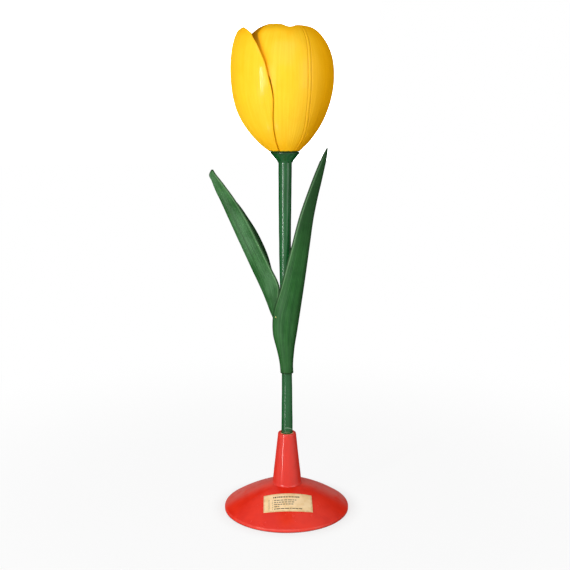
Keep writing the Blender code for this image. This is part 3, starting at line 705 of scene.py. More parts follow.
cupTable = cupMeridian(np.linspace(0, 1, 3001))


# Half the azimuth that the proud tepal spans at a height above its claw, in degrees: a smooth curve
def proudHalfAngle(height):
    t = tepalSizes
    shares = [(0, 0.87), (0.24, 0.945), (0.46, 1), (0.6, 0.948), (0.74, 0.863), (0.84, 0.738), (0.94, 0.575)]
    return t["proudHalfAngle"] * curveThrough(shares, height / t["proudLength"])


# The proud tepal: its middle follows one meridian and its edges another, near the cup's own radius,
# and between them the radius goes as a power of the distance from the middle.
def placeProud(across, along):
    t = tepalSizes
    side = 2 * across - 1
    height = (t["proudLength"] - t["proudShoulderDrop"] * np.abs(side) ** t["proudTipPower"]) * along
    edgeHeight = (t["proudLength"] - t["proudShoulderDrop"]) * along
    middle = [(0, t["proudClaw"] / t["proudBelly"]), (0.06, 0.455), (0.16, 0.660), (0.29, 0.842),
              (0.42, 0.942), (0.55, 0.987), (0.67, 0.998), (0.78, 0.979), (0.87, 0.945), (0.94, 0.896),
              (0.975, 0.852), (1, 0.778)]
    stand = [(0, 0.0005), (0.45, 0.0010), (0.58, 0.0032), (0.74, 0.0040), (0.84, 0.0056), (0.94, 0.0120)]
    middleRadius = t["proudBelly"] * curveThrough(middle, height / t["proudLength"])
    edgeRadius = np.interp(edgeHeight, cupTable[1], cupTable[0])
    edgeRadius = edgeRadius + curveThrough(stand, edgeHeight / t["proudLength"])
    blend = np.abs(side) ** t["proudEdgePower"]
    radius = middleRadius * (1 - blend) + edgeRadius * blend
    return atAzimuth(t["proudAzimuth"] + side * proudHalfAngle(edgeHeight), radius, clawFoot + height)


# Side edge of a wide tepal: beside the proud tepal below, and under it higher up
def tuckedAzimuth(along):
    t = tepalSizes
    radius, height = cupMeridian(along)
    under = t["underlap"] * easeBetween(0.58 * t["proudLength"], 0.74 * t["proudLength"], height)
    return t["proudAzimuth"] + proudHalfAngle(height) + np.degrees(t["seamGap"] / radius) - under


# A wide tepal: azimuth goes quadratically in across, through the edge, the midrib and the far seam. The
# mirrored one is its reflection in the plane of the proud tepal's middle.
def placeWide(across, along, mirrored):
    t = tepalSizes
    if mirrored:
        across = 1 - across
    far = t["backSeam"] - np.degrees(t["seamGap"] / 2 / t["claw"])

    def azimuthAt(share):
        tucked = tuckedAzimuth(share)
        swerve = curveThrough(t["ribAzimuths"], share) - (tucked + far) / 2
        return tucked * (1 - across) + far * across + 4 * swerve * across * (1 - across)

    rimAzimuth = azimuthAt(np.ones_like(across))
    notchEnd = t["notchAzimuth"] + 2 * t["notchHalfWidth"]
    drop = t["notchDepth"] * bell(rimAzimuth - t["notchAzimuth"], t["notchHalfWidth"])
    drop = drop + t["shoulderDrop"] * easeBetween(*t["shoulderAzimuths"], rimAzimuth)
    drop = drop + t["rightLobeDrop"] * easeBetween(t["notchAzimuth"], notchEnd, rimAzimuth)
    drop = drop + t["rightFall"] * easeBetween(*t["rightFallAzimuths"], rimAzimuth)
    along = along * (1 - drop)
    radius, height = cupMeridian(along)
    azimuth = azimuthAt(along)
    bulge = t["bulge"] * easeBetween(*t["bulgeAzimuths"], azimuth)
    radius = radius + bulge * easeBetween(*t["bulgeShares"], along)
    if mirrored:
        azimuth = 2 * t["proudAzimuth"] - azimuth
    return atAzimuth(azimuth, radius, clawFoot + height)


# An inner tepal: a meridian of its own, whose width in azimuth narrows to the tip
def placeInner(across, along, middleAzimuth):
    s = innerSizes
    side = 2 * across - 1
    height = (s["length"] - s["tipDrop"] * np.abs(side) ** 1.5) * along
    shares = [(0, s["claw"] / s["belly"]), (0.07, 0.37), (0.16, 0.57), (0.28, 0.76), (0.43, 0.92), (0.62, 1),
              (0.77, 0.98), (0.89, 0.89), (1, 0.73)]
    radius = s["belly"] * curveThrough(shares, height / s["length"])
    width = curveThrough([(0, 0.82), (0.3, 0.93), (0.6, 1.0), (0.8, 0.86), (0.92, 0.56), (1, 0.30)], along)
    return atAzimuth(middleAzimuth + side * width * s["halfAngle"], radius, clawFoot + height)


# Turn round the flower's axis from a facing, in radians
def turnFrom(face, facing):
    turn = np.arctan2(face[..., 0] - flowerX, -face[..., 1]) - radians(facing)
    return (turn + pi) % (2 * pi) - pi


# Painted shadow in the corner beside the proud tepal's edge, wider and stronger higher up, dark painted shade
# in the gap at its top corner, and painted shade on the sides away from it
def seamMarks(face):
    t = tepalSizes
    away = np.abs(turnFrom(face, t["proudAzimuth"]))
    height = face[..., 2] - clawFoot
    share = height / t["proudLength"]
    radius = np.hypot(face[..., 0] - flowerX, face[..., 1])
    gap = np.maximum((away - np.radians(proudHalfAngle(height))) * radius, 0)
    narrow, wider = t["seamShadowWidths"]
    # painted shadow beside the proud tepal's edge, wider and stronger higher up
    seamShadow = bell(gap, narrow + wider * easeBetween(0.42, 0.80, share))
    seamShadow = seamShadow * (0.05 + 0.95 * easeBetween(0.40, 0.70, share)) * easeBetween(1.03, 0.97, share)
    # painted shade in the gap at the top corner of the seam
    gapShade = bell(gap, t["gapShadeWidth"]) * easeBetween(0.78, 0.94, share)
    return {"seamShadow": seamShadow, "shadedSide": easeBetween(radians(92), radians(150), away), "gapShade": gapShade}


# Relief of a tepal: two fine grooves beside a low ridge down the middle, lengthwise veins and soft dents
def tepalRelief(turn, along, face, fromMiddle):
    t = tepalSizes
    half = t["grooveSpacing"] / 2 * (1 - 0.35 * easeBetween(0.75, 1.0, along))
    grooves = bell(np.abs(fromMiddle) - half, t["grooveWidth"])
    ridge = bell(fromMiddle, 0.7 * half)
    veins = unevenness(np.stack([turn, 0.10 * along, 0 * along], -1), t["veinWidth"], 12, waves=16)
    dents = unevenness(face * [1, 1, 0.55], t["dentSize"], 11)
    rib = (t["ridge"] * ridge - t["grooveDepth"] * grooves) * easeBetween(0.0, 0.05, along)
    return rib + t["veins"] * veins + t["dents"] * dents


yellowPaint = {
    "light": (0.97, 0.600, 0.028),
    "main": (0.95, 0.538, 0.014),
    "orange": (0.96, 0.425, 0.001),
    "brown": (0.58, 0.200, 0.001),
    "gapShade": (0.13, 0.050, 0.004),
    "greenEdge": (0.060, 0.110, 0.012),
    "fineStreaks": (85, 4, 1),
    "broadStreaks": (19, 1.8, 1),
    "shadeAmount": 0.90,
    "gapShadeAmount": 0.62,
    "grooveAmount": 0.42,
    "gloss": 0.18,
    "glossFade": (0.10, 0.40),
}


# Yellow paint in lengthwise streaks. Orange lies in clouds, as painted shade away from the proud tepal, as
# painted shadow beside it, on the top, the foot and the rim; brown as painted shade low down away from the
# proud tepal, in the painted shadow and in the grooves; dark painted shade in the gap at the top of the seam;
# green at the very foot.
def makeYellowPaint():
    p = yellowPaint
    startFinish("yellowPaint")
    along = field("along")
    shadedSide = field("shadedSide")
    seamShadow = field("seamShadow")
    lengthwise = flatPlace(field("turn"), along)
    fine = grain(1.0, 3.0, p["fineStreaks"], lengthwise)
    broad = grain(1.0, 3.0, p["broadStreaks"], lengthwise)
    cloud = grain(0.035)
    streaks = maths("ADD", times(fine, 0.45), times(broad, 0.55))
    # orange clouds, with orange as painted shade on the sides away from the proud tepal
    orangeAndShade = maths("MAXIMUM", times(spread(cloud, 0.42, 0.70), 0.30), times(shadedSide, p["shadeAmount"]))
    # orange as painted shadow beside the proud tepal's edge
    orangeAndShade = maths("MAXIMUM", orangeAndShade, times(seamShadow, p["shadeAmount"]))
    # brown as painted shade low down on the sides away from the proud tepal
    brown = times(shadedSide, spread(along, 0.62, 0.22, 0.0, 0.35), spread(broad, 0.35, 0.65, 0.4, 1.0))
    # brown deepening the painted shadow beside the proud tepal's edge
    brown = maths("MAXIMUM", brown, times(seamShadow, seamShadow, 0.25))
    offGroove = maths("SUBTRACT", maths("ABSOLUTE", field("fromMiddle")), tepalSizes["grooveSpacing"] / 2)
    groove = spread(maths("ABSOLUTE", offGroove), 0.0009, 0.0001)
    brown = maths("MAXIMUM", brown, times(groove, p["grooveAmount"], field("outside")))
    ragged = maths("ADD", along, times(grain(0.0035), 0.016))
    colour = coats(
        tint(spread(streaks, 0.30, 0.70), p["main"], p["light"]),
        (orangeAndShade, p["orange"]),
        (times(spread(along, 0.86, 1.0), spread(broad, 0.25, 0.6, 0.4, 1.0), 0.55), p["orange"]),
        (times(spread(along, 0.22, 0.0), 0.55), p["orange"]),
        (times(spread(field("rim"), 0.0030, 0.0004), 0.5), p["orange"]),
        (brown, p["brown"]),
        # dark painted shade in the gap at the top of the seam
        (times(field("gapShade"), p["gapShadeAmount"]), p["gapShade"]),
        (spread(ragged, 0.0235, 0.0185), p["greenEdge"]),
    )
    bump = (fine, 0.00003, 0.35)
    return endFinish(colour, spread(cloud, 0.3, 0.7, 0.16, 0.24), p["gloss"], p["glossFade"], bump)


def makeTepals(finish):
    t = tepalSizes

    def makeTepal(name, place, facing, wall, besideProud=False):
        def relief(across, along, face, fromMiddle):
            return tepalRelief(turnFrom(face, facing), along, face, fromMiddle)

        def marks(face):
            return {"turn": turnFrom(face, facing), **(seamMarks(face) if besideProud else {})}

        makeWall("tepal_" + name, place, wall["grid"], wall, finish, "yellow_lacquer", relief, marks)

    right = t["ribAzimuths"][2][1]
    left = 2 * t["proudAzimuth"] - right
    makeTepal("front_left", placeProud, t["proudAzimuth"], t)
    for name, facing, mirrored in (("front_right", right, False), ("back", left, True)):
        makeTepal(name, lambda across, along: placeWide(across, along, mirrored), facing, t, True)
    for name, facing in innerSizes["azimuths"].items():
        makeTepal("inner_" + name, lambda across, along: placeInner(across, along, facing), facing,
                  innerSizes)


makeTepals(makeYellowPaint())
print("tepals made")


# Leaves: two lance-shaped leaves whose sheaths clasp the stem
leafSizes = {
    "thickness": 0.0013,
    "edgeRound": 0.0006,
    "clearance": 0.0004,
    "sheathShare": 0.10,
    "rightHeight": 0.0787,
    "rightLength": 0.283,
    "rightReach": 0.0502,
    "rightForward": 0.0200,
    "rightHalfWidth": 0.0162,
    "leftHeight": 0.104,
    "leftLength": 0.2295,
    "leftFacing": -120.0,
    "leftWrap": 85.0,
    "keelReach": 0.0906,
    "keelBack": 0.0180,
    "nearWidth": 0.0250,
    "farWidth": 0.0282,
    "keelRound": 0.14,
    "bow": 0.09,
    "openingShares": (0.02, 0.24),
    "veins": 0.00005,
    "veinCount": 17,
    "rightGrid": ((90, 0.020), (250, 0.003)),
    "leftGrid": ((110, 0.016), (230, 0.004)),
}


# Outer radius of a leaf's sheath round the stem, where the leaf starts
def sheathRadius(height):
    return stemRadius(neckTop + height) + leafSizes["clearance"] + leafSizes["thickness"]


# Curves along the right leaf: shares of its reach, lean and half width, then wrap and facing in degrees
rightCurves = {
    "reach": [(0, 0), (0.10, -0.024), (0.18, -0.036), (0.25, -0.004), (0.40, 0.177), (0.57, 0.373),
              (0.71, 0.526), (0.86, 0.759), (1, 1)],
    "forward": [(0, 0), (0.10, 0.10), (0.25, 0.175), (0.50, 0.475), (1, 1)],
    "halfWidth": [(0, 0.50), (0.10, 0.665), (0.18, 0.935), (0.25, 1.04), (0.40, 0.905), (0.57, 0.722),
                  (0.78, 0.492), (0.91, 0.315), (0.97, 0.19), (1, 0.07)],
    "wrap": [(0, 100), (0.10, 80), (0.18, 62), (0.30, 50), (0.6, 34), (1, 20)],
    "facing": [(0, 0), (0.4, 4), (1, 14)],
}
# Curves along the left leaf: its keel, near margin and far margin, each in x and in y, as shares
leftCurves = {
    "keelX": [(0, 0.088), (0.13, 0.152), (0.22, 0.212), (0.31, 0.293), (0.49, 0.492), (0.67, 0.697),
              (0.82, 0.868), (0.92, 0.980), (0.97, 1.009), (1, 1)],
    "keelY": [(0, 0.222), (0.22, 0.333), (0.31, 0.389), (0.5, 0.528), (1, 1)],
    "nearX": [(0, 0.12), (0.13, 0.30), (0.22, 0.48), (0.31, 0.76), (0.37, 1), (0.49, 1.03), (0.60, 1.00),
              (0.74, 0.93), (0.82, 0.81), (0.90, 0.63), (0.96, 0.36), (1, 0.06)],
    "nearY": [(0, 0.40), (0.22, 0.48), (0.30, 0.452), (0.37, 0.468), (0.6, 0.34), (1, 0.056)],
    "farX": [(0, 0.426), (0.22, 0.603), (0.37, 0.780), (0.45, 0.858), (0.53, 0.975), (0.60, 1), (0.67, 0.965),
             (0.74, 0.851), (0.82, 0.667), (0.92, 0.106), (0.97, -0.106), (1, -0.028)],
    "farY": [(0, 0.142), (0.22, 0.177), (0.6, 0.234), (0.92, 0.213), (1, 0.035)],
}


# The right leaf: level sections, each an arc with its chord's middle, half chord, half angle and facing
def placeRightLeaf(across, along):
    s = leafSizes
    reach, forward, half, wrap, facing = (curveThrough(curve, along) for curve in rightCurves.values())
    z = neckTop + s["rightHeight"] + s["rightLength"] * along
    x = s["rightReach"] * reach
    y = -s["rightForward"] * forward
    wrap = np.radians(wrap)
    facing = np.radians(facing)
    sheath = sheathRadius(s["rightHeight"])
    free = easeBetween(0.0, s["sheathShare"], along)
    half = sheath * (1 - free) + s["rightHalfWidth"] * half * free
    size = half / np.sin(np.minimum(wrap, pi / 2))
    turn = (2 * across - 1) * wrap
    ahead = sheath * np.cos(wrap) * (1 - free) + size * (np.cos(turn) - np.cos(wrap))
    aside = size * np.sin(turn)
    return np.stack([
        stemShift(z) + x + np.sin(facing) * ahead + np.cos(facing) * aside,
        y - np.cos(facing) * ahead + np.sin(facing) * aside,
        z,
    ], -1)


# The left leaf: folded along its keel, each level section a hyperbola whose arms run to the two margins,
# bowed outward, and drawn in to a circle round the stem at the sheath.
def placeLeftLeaf(across, along):
    s = leafSizes
    z = neckTop + s["leftHeight"] + s["leftLength"] * along

    def level(x, y):
        return np.stack([x, y, 0 * z], -1)

    keelX, keelY, nearX, nearY, farX, farY = (curveThrough(curve, along) for curve in leftCurves.values())
    keel = level(-s["keelReach"] * keelX, s["keelBack"] * keelY)
    near = level(s["nearWidth"] * nearX, -s["nearWidth"] * nearY)
    far = level(s["farWidth"] * farX, s["farWidth"] * farY)
    stem = np.stack([stemShift(z), 0 * z, z], -1)
    endWeight = (np.hypot(1.0, s["keelRound"]) + 1) / 2
    share = s["keelRound"] / 2 / endWeight
    inset = (near + far) * share / (1 - 2 * share)
    near = near + inset
    far = far + inset
    side = 2 * across - 1
    nearWeight = (np.hypot(side, s["keelRound"]) + side) / 2 / endWeight
    farWeight = (np.hypot(side, s["keelRound"]) - side) / 2 / endWeight
    bow = s["bow"] * 4 * np.abs(side) * (1 - np.abs(side))
    nearOut = level(near[..., 1], -near[..., 0])
    farOut = level(-far[..., 1], far[..., 0])
    arched = np.where((side > 0)[..., None], nearOut, farOut) * bow[..., None]
    folded = stem + keel - inset + near * nearWeight[..., None] + far * farWeight[..., None] + arched
    turn = np.radians(s["leftFacing"] + side * s["leftWrap"])
    wrapped = stem + level(np.sin(turn), -np.cos(turn)) * sheathRadius(s["leftHeight"])
    opened = easeBetween(*s["openingShares"], along)[..., None]
    return wrapped * (1 - opened) + folded * opened


# Relief of a leaf: fine veins that run its whole length, closer together near the tip and the sheath
def leafRelief(across, along, face, fromMiddle):
    phase = 0.8 * np.sin(5 * along + 3 * across)
    veins = np.sin(2 * pi * leafSizes["veinCount"] * across + phase)
    return leafSizes["veins"] * (veins + 1.2 * unevenness(face * [1, 1, 0.4], 0.012, 21))


# The margin with a painted highlight is at 0 or 1 across, and the other side has painted shade. The painted
# shade on the top grows along the leaf.
leafPaint = {
    "deep": (0.009, 0.070, 0.011),
    "bright": (0.026, 0.128, 0.025),
    "bloom": (0.078, 0.205, 0.082),
    "dark": (0.004, 0.030, 0.004),
    "margin": (0.115, 0.240, 0.105),
    "gloss": 0.14,
    "glossFade": (0.12, 0.50),
    "left": {"bloomAndLightAmount": 0.62, "shadedTop": 0.0, "paleSide": 1},
    "right": {"bloomAndLightAmount": 0.24, "shadedTop": 0.85, "paleSide": 0},
}
paintChip = {
    "across": 0.135,
    "along": 0.261,
    "leafWidth": 0.036,
    "radius": 0.0008,
    "paint": (0.70, 0.62, 0.22),
}


# How much of the paint chip there is: all within its ragged radius, measured along the leaf's surface
def chipAmount(across, along):
    c = paintChip
    besides = times(maths("SUBTRACT", across, c["across"]), c["leafWidth"])
    above = times(maths("SUBTRACT", along, c["along"]), leafSizes["rightLength"])
    away = maths("ADD", lengthOf(flatPlace(besides, above)), times(grain(0.0015, 2.0), 0.6 * c["radius"]))
    return spread(away, 1.35 * c["radius"], 1.1 * c["radius"])


# Leaf paint in veins, with pale bloom that is partly painted light, painted shade on the top, fine dark
# lines, painted shade on one side, a painted highlight on the other margin and dark rims
def makeLeafPaint(side):
    p = leafPaint
    own = p[side]
    pale = own["paleSide"]
    startFinish("leafPaint" + side.capitalize())
    across = field("across")
    along = field("along")
    rim = field("rim")
    lengthwise = flatPlace(across, along)
    veins = grain(1.0, 3.0, (34, 1.4, 1), lengthwise)
    fineVeins = grain(1.0, 2.0, (90, 2.4, 1), lengthwise)
    cloud = grain(0.028, 4.0)
    amount = maths("ADD", times(veins, 0.6), times(cloud, 0.4))
    layers = [
        # pale bloom, stronger on the left leaf as painted light
        (times(mottle(0.020, 5.0, 0.35, 0.70, stretch=(1, 1, 0.5)), own["bloomAndLightAmount"]), p["bloom"]),
        # painted shade on the top of the leaf
        (times(spread(along, 0.42, 0.82), own["shadedTop"]), p["dark"]),
        (times(spread(fineVeins, 0.50, 0.62), spread(along, 0.76, 0.90, 0.52, 0.0)), p["dark"]),
        # painted shade on the side away from the light: the right leaf's right border and the left leaf's far
        # half
        (times(spread(across, 0.74 - 0.48 * pale, 0.96 - 0.92 * pale), 0.65), p["dark"]),
        # painted highlight along the lit margin
        (times(spread(rim, 0.0042, 0.0028), spread(across, 0.5, pale), spread(veins, 0.35, 0.60, 0.45, 0.95),
               spread(along, 0.22, 0.42)), p["margin"]),
        (spread(rim, 0.0024, 0.0014, 0.0, 0.85), p["dark"]),
    ]
    if side == "right":
        layers.append((chipAmount(across, along), paintChip["paint"]))
    colour = coats(tint(spread(amount, 0.38, 0.62), p["deep"], p["bright"]), *layers)
    bump = (fineVeins, 0.00006, 0.5)
    return endFinish(colour, spread(cloud, 0.3, 0.7, 0.36, 0.52), p["gloss"], p["glossFade"], bump)


def makeLeaves():
    s = leafSizes
    left, right = (makeLeafPaint(side) for side in ("left", "right"))
    makeWall("leaf_right", placeRightLeaf, s["rightGrid"], s, right, "leaf_enamel", leafRelief)
    makeWall("leaf_left", placeLeftLeaf, s["leftGrid"], s, left, "leaf_enamel", leafRelief)


makeLeaves()
print("leaves made")


# Label: a sheet of aged paper bent round the dome, with numbers and ruled lines. The title is a height, a
# start and an end, a line a height and an end, and the side rule a place, a top and a bottom. Words are the
# longest mark and the gap after it, and a side dash is its length back and on and its height.
labelSizes = {
    "width": 0.0620,
    "depth": 0.0285,
    "thickness": 0.0004,
    "edgeRound": 0.00022,
    "radius": 0.0430,
    "turn": 1.5,
    "bow": 0.0014,
    "inkThickness": 0.00003,
    "numberSize": 0.0024,
    "numberPlace": -0.0202,
    "ruleHeight": 0.00115,
    "title": (0.0080, -0.0185, 0.0165),
    "titleWords": (0.0019, 0.0009),
    "titleShare": 2.1,
    "lines": [(0.0026, 0.0106), (-0.0008, 0.0080), (-0.0042, 0.0067), (-0.0076, -0.0110), (-0.0111, 0.0183)],
    "lineStart": 0.0026,
    "words": (0.0052, 0.0008),
    "sideRule": (-0.0240, 0.0060, -0.0115),
    "sideDash": (0.0002, 0.0003, 0.0011),
    "sideSpacing": 0.0016,
    "grid": ((70, 0.006), (34, 0.012)),
}
paperPaint = {
    "light": (0.94, 0.72, 0.43),
    "dark": (0.84, 0.59, 0.29),
    "stain": (0.58, 0.36, 0.15),
    "ink": (0.018, 0.014, 0.012),
    "wornInk": (0.10, 0.070, 0.045),
}


# A point of the label: distances from the cone's apex stay true as the flat sheet is bent round the cone
def onLabel(x, y, lift):
    tilt = atan(standSizes["slope"])
    y = labelSizes["radius"] / cos(tilt) - y
    reach = np.hypot(x, y) * cos(tilt)
    turn = np.arctan2(x, y) / cos(tilt) + radians(labelSizes["turn"])
    raised = (cupSizes["seat"] + labelSizes["thickness"] + lift) / cos(tilt)
    return np.stack([reach * np.sin(turn), -reach * np.cos(turn), domeHeight(reach) + raised], -1)


def makePaper():
    p = paperPaint
    startFinish("agedPaper")
    colour = coats(
        tint(mottle(0.011, 4.0, 0.35, 0.70), p["light"], p["dark"]),
        (times(spread(field("rim"), 0.0032, 0.0004), mottle(0.004, 4.0, 0.35, 0.65, 0.2, 0.75)), p["stain"]),
        (mottle(0.0012, 2.0, 0.69, 0.75, 0.0, 0.5), p["stain"]),
    )
    return endFinish(colour, 0.75, 0.25, bump=(grain(0.0006), 0.00003, 0.5))


def makeInk():
    startFinish("typedInk")
    worn = mottle(0.0007, 2.0, 0.42, 0.62)
    return endFinish(tint(worn, paperPaint["ink"], paperPaint["wornInk"]), 0.6, 0.2)


# A ruled mark: four-sided rings along it, closed by a pole at each end
def ruleMark(start, end, y, height):
    count = max(2, int(abs(end - start) / 0.0008) + 1)
    x = np.linspace(start, end, count)
    thickness = labelSizes["inkThickness"]
    beside = np.array([-0.5, 0.5, 0.5, -0.5]) * height
    above = np.array([1.0, 1.0, 0.0, 0.0]) * thickness
    rings = onLabel(np.repeat(x, 4).reshape(-1, 4), y + beside[None, :], above[None, :])
    poles = onLabel(np.array([start, end]), y, thickness / 2)
    return np.concatenate([poles[:1], rings.reshape(-1, 3), poles[1:]]), ringFaces(count, 4)


# A number as triangles: the outline's faces, given a thickness, then laid on the label
def numberMark(number, x, y):
    curve = bpy.data.curves.new("number", "FONT")
    curve.body = str(number)
    curve.size = labelSizes["numberSize"]
    curve.extrude = labelSizes["inkThickness"] / 2
    curve.resolution_u = 3
    holder = addObject("number", curve)
    mesh = bpy.data.meshes.new_from_object(holder.evaluated_get(bpy.context.evaluated_depsgraph_get()))
    welded = bmesh.new()
    welded.from_mesh(mesh)
    bmesh.ops.remove_doubles(welded, verts=welded.verts, dist=0.000001)
    bmesh.ops.triangulate(welded, faces=welded.faces)
    welded.to_mesh(mesh)
    welded.free()
    flat = pointsOf(mesh)
    corners = np.zeros(len(mesh.polygons) * 3, dtype=int)
    mesh.polygons.foreach_get("vertices", corners)
    bpy.data.objects.remove(holder, do_unlink=True)
    bpy.data.meshes.remove(mesh)
    points = onLabel(x + flat[:, 0], y + flat[:, 1], flat[:, 2] + labelSizes["inkThickness"] / 2)
    return points, [np.zeros((0, 4), dtype=int), corners.reshape(-1, 3)]


# Marks of uneven length from one place to another, as words are spaced on a line
def brokenLine(start, end, y, height, longest, gap, dice):
    marks = []
    place = start
    while place < end - 0.0012:
        stop = min(place + dice.uniform(0.35, 1.0) * longest, end)
        marks.append(ruleMark(place, stop, y, height))
        place = stop + gap
    return marks


def makeLabel(paper, ink):
    s = labelSizes

    # The lower edge is cut in a shallow bow, so that it looks nearly straight on the dome
    def place(across, along):
        bow = s["bow"] * 4 * across * (1 - across) * (1 - along)
        return onLabel((across - 0.5) * s["width"], (along - 0.5) * s["depth"] - bow, 0.0)

    makeWall("base_label", place, s["grid"], s, paper, "cream_paper")
    dice = np.random.default_rng(8)
    y, start, end = s["title"]
    marks = brokenLine(start, end, y, s["titleShare"] * s["ruleHeight"], *s["titleWords"], dice)
    start = s["numberPlace"] + s["lineStart"]
    for number, (y, end) in enumerate(s["lines"], 1):
        marks.append(numberMark(number, s["numberPlace"], y - 0.4 * s["numberSize"]))
        marks += brokenLine(start, end, y, s["ruleHeight"], *s["words"], dice)
    x, top, bottom = s["sideRule"]
    back, on, height = s["sideDash"]
    marks += [ruleMark(x - back, x + on, y, height) for y in np.arange(bottom, top, s["sideSpacing"])]
    firsts = np.cumsum([0] + [len(points) for points, _ in marks])
    faces = [np.concatenate([mark[1][kind] + first for mark, first in zip(marks, firsts)]) for kind in (0, 1)]
    makePiece("base_label", np.concatenate([points for points, _ in marks]), faces, ink, "", label="print")


makeLabel(makePaper(), makeInk())
print("label made")


# Brass pins, each on the line of its solid, with rounded ends
pinSizes = {"radius": 0.0012, "pistilRadius": 0.0014, "round": 0.0003, "cut": (0.0012, 28)}
brassPaint = {"light": (0.80, 0.58, 0.26), "dark": (0.42, 0.27, 0.10)}


def makeBrass():
    startFinish("brass")
    tarnish = grain(0.0035, 4.0)
    colour = tint(spread(tarnish, 0.38, 0.68), brassPaint["light"], brassPaint["dark"])
    bump = (grain(0.0008, 2.0), 0.00002, 0.4)
    return endFinish(colour, spread(tarnish, 0.3, 0.7, 0.24, 0.48), 0.5, bump=bump, others={"Metallic": 1.0})


# Lays a turned piece along a line: its own Z goes to the line's direction
def laidAlong(points, start, direction):
    turn = np.array(Vector(direction).to_track_quat("Z", "Y").to_matrix())
    return points @ turn.T + np.array(start)


def makePins(finish):
    s = pinSizes
    for node in frame["nodes"]:
        if not node.startswith("pin_") and node != "pistil_pin":
            continue
        spots = np.unique(np.round(pointsOf(frame["nodes"][node].data), 7), axis=0)
        middle = spots.mean(axis=0)
        direction = np.linalg.svd(spots - middle)[2][0]
        half = np.abs((spots - middle) @ direction).max()
        radius = s["pistilRadius"] if node == "pistil_pin" else s["radius"]
        corners = [(0, half, 0), (radius, half, s["round"]), (radius, -half, s["round"]), (0, -half, 0)]
        makeTurned(node, corners, s["cut"], finish, "brass", 50,
                   moved=lambda points: laidAlong(points, middle, direction))


makePins(makeBrass())
print("pins made")


# Stamens: six filaments that lean outward from the boss, each with a two-lobed anther
stamenSizes = {
    "count": 6,
    "ring": 0.0077,
    "radius": 0.0013,
    "tipRadius": 0.0008,
    "length": 0.047,
    "lean": 12.0,
    "insertion": 0.0042,
    "antherLength": 0.031,
    "antherRadius": 0.0034,
    "socket": 0.005,
    "wall": 0.0007,
    "clearance": 0.0003,
    "groove": 0.24,
    "grooveWidth": 0.30,
    "sideGroove": 0.55,
    "sideWidth": 0.22,
    "filamentCut": (0.0012, 24),
    "antherCut": (0.0009, 56),
}
filamentPaint = {"pale": (0.66, 0.68, 0.36), "green": (0.34, 0.44, 0.14)}
antherPaint = {"deep": (0.030, 0.014, 0.030), "dusty": (0.115, 0.062, 0.085)}


def makeFilamentPaint():
    p = filamentPaint
    startFinish("filamentPaint")
    rise = spread(splitPlace()["Z"], bossTop, bossTop + 0.03)
    streaks = grain(0.0012, 3.0, (1, 1, 0.08))
    colour = coats(tint(rise, p["green"], p["pale"]), (times(streaks, 0.4), p["green"]))
    return endFinish(colour, 0.45, 0.3, bump=(streaks, 0.00004, 0.5))


def makeAntherPaint():
    startFinish("antherPaint")
    grit = grain(0.0009)
    colour = tint(spread(grit, 0.40, 0.66), antherPaint["deep"], antherPaint["dusty"])
    return endFinish(colour, 0.60, 0.25, bump=(grit, 0.00008, 0.6))


def makeStamens(filamentFinish, antherFinish):
    s = stamenSizes
    lean = radians(s["lean"])
    hole = s["tipRadius"] + 2 * s["clearance"]
    length = s["antherLength"]

    # Two lobes on each side: the radius falls in a narrow groove at the front, the back and both sides
    def lobed(radius, height, turns):
        outer = (radius > hole + 0.0002) * np.ones_like(turns)
        swelling = easeBetween(0.0, 0.12 * length, height) * easeBetween(length, 0.88 * length, height)
        groove = bell(np.sin(turns), s["grooveWidth"])
        groove = groove + s["sideGroove"] * bell(np.cos(turns), s["sideWidth"])
        return radius * (1 - s["groove"] * groove * outer * swelling)

    for number in range(s["count"]):
        azimuth = tepalSizes["proudAzimuth"] + 360 / s["count"] * number
        foot = atAzimuth(azimuth, s["ring"], bossTop)
        tip = atAzimuth(azimuth, s["ring"] + s["length"] * sin(lean), bossTop + s["length"] * cos(lean))
        direction = (tip - foot) / np.linalg.norm(tip - foot)
        bottom = foot - direction * s["insertion"]
        full = float(np.linalg.norm(tip - bottom))
        taper = s["tipRadius"] - s["radius"]
        makeTurned("filament_" + str(number + 1), [
            (0, full, 0),
            *[(s["radius"] + taper * share, full * share, 0.0002) for share in np.linspace(1, 0, 14)],
            (0, 0, 0),
        ], s["filamentCut"], filamentFinish, "filament_green", 50,
            moved=lambda points: laidAlong(points, bottom, direction))
        seat = tip - direction * (s["socket"] - s["clearance"])
        makeTurned("anther_" + str(number + 1), [
            (0, length, 0),
            *[(s["antherRadius"] * sin(turn) ** 0.6, length * (0.5 + 0.49 * cos(turn)), 0)
              for turn in np.radians(np.linspace(12, 150, 22))],
            (hole + s["wall"], 0, 0.0002),
            (hole, 0, 0.0001),
            (hole, s["socket"], 0),
            (0, s["socket"], 0),
        ], s["antherCut"], antherFinish, "anther_purple", 60, lobed,
            lambda points: laidAlong(points, seat, direction))


makeStamens(makeFilamentPaint(), makeAntherPaint())
print("stamens made")


# Pistil: a three-sided ovary with a stigma of three crested lobes
pistilSizes = {
    "height": 0.062,
    "footRadius": 0.0042,
    "radius": 0.0074,
    "neckRadius": 0.0056,
    "stigmaRadius": 0.0098,
    "stigmaHeight": 0.0100,
    "pegRadius": 0.0022,
    "pegLength": 0.0050,
    "pinLength": 0.016,
    "pinDepth": 0.0085,
    "clearance": 0.0003,
    "sides": 0.10,
    "lobes": 0.16,
    "ovaryCut": (0.0012, 96),
    "stigmaCut": (0.0007, 168),
}
ovaryPaint = {"light": (0.46, 0.58, 0.20), "deep": (0.25, 0.38, 0.09)}
stigmaPaint = {"crest": (0.84, 0.72, 0.36), "fold": (0.56, 0.42, 0.13)}


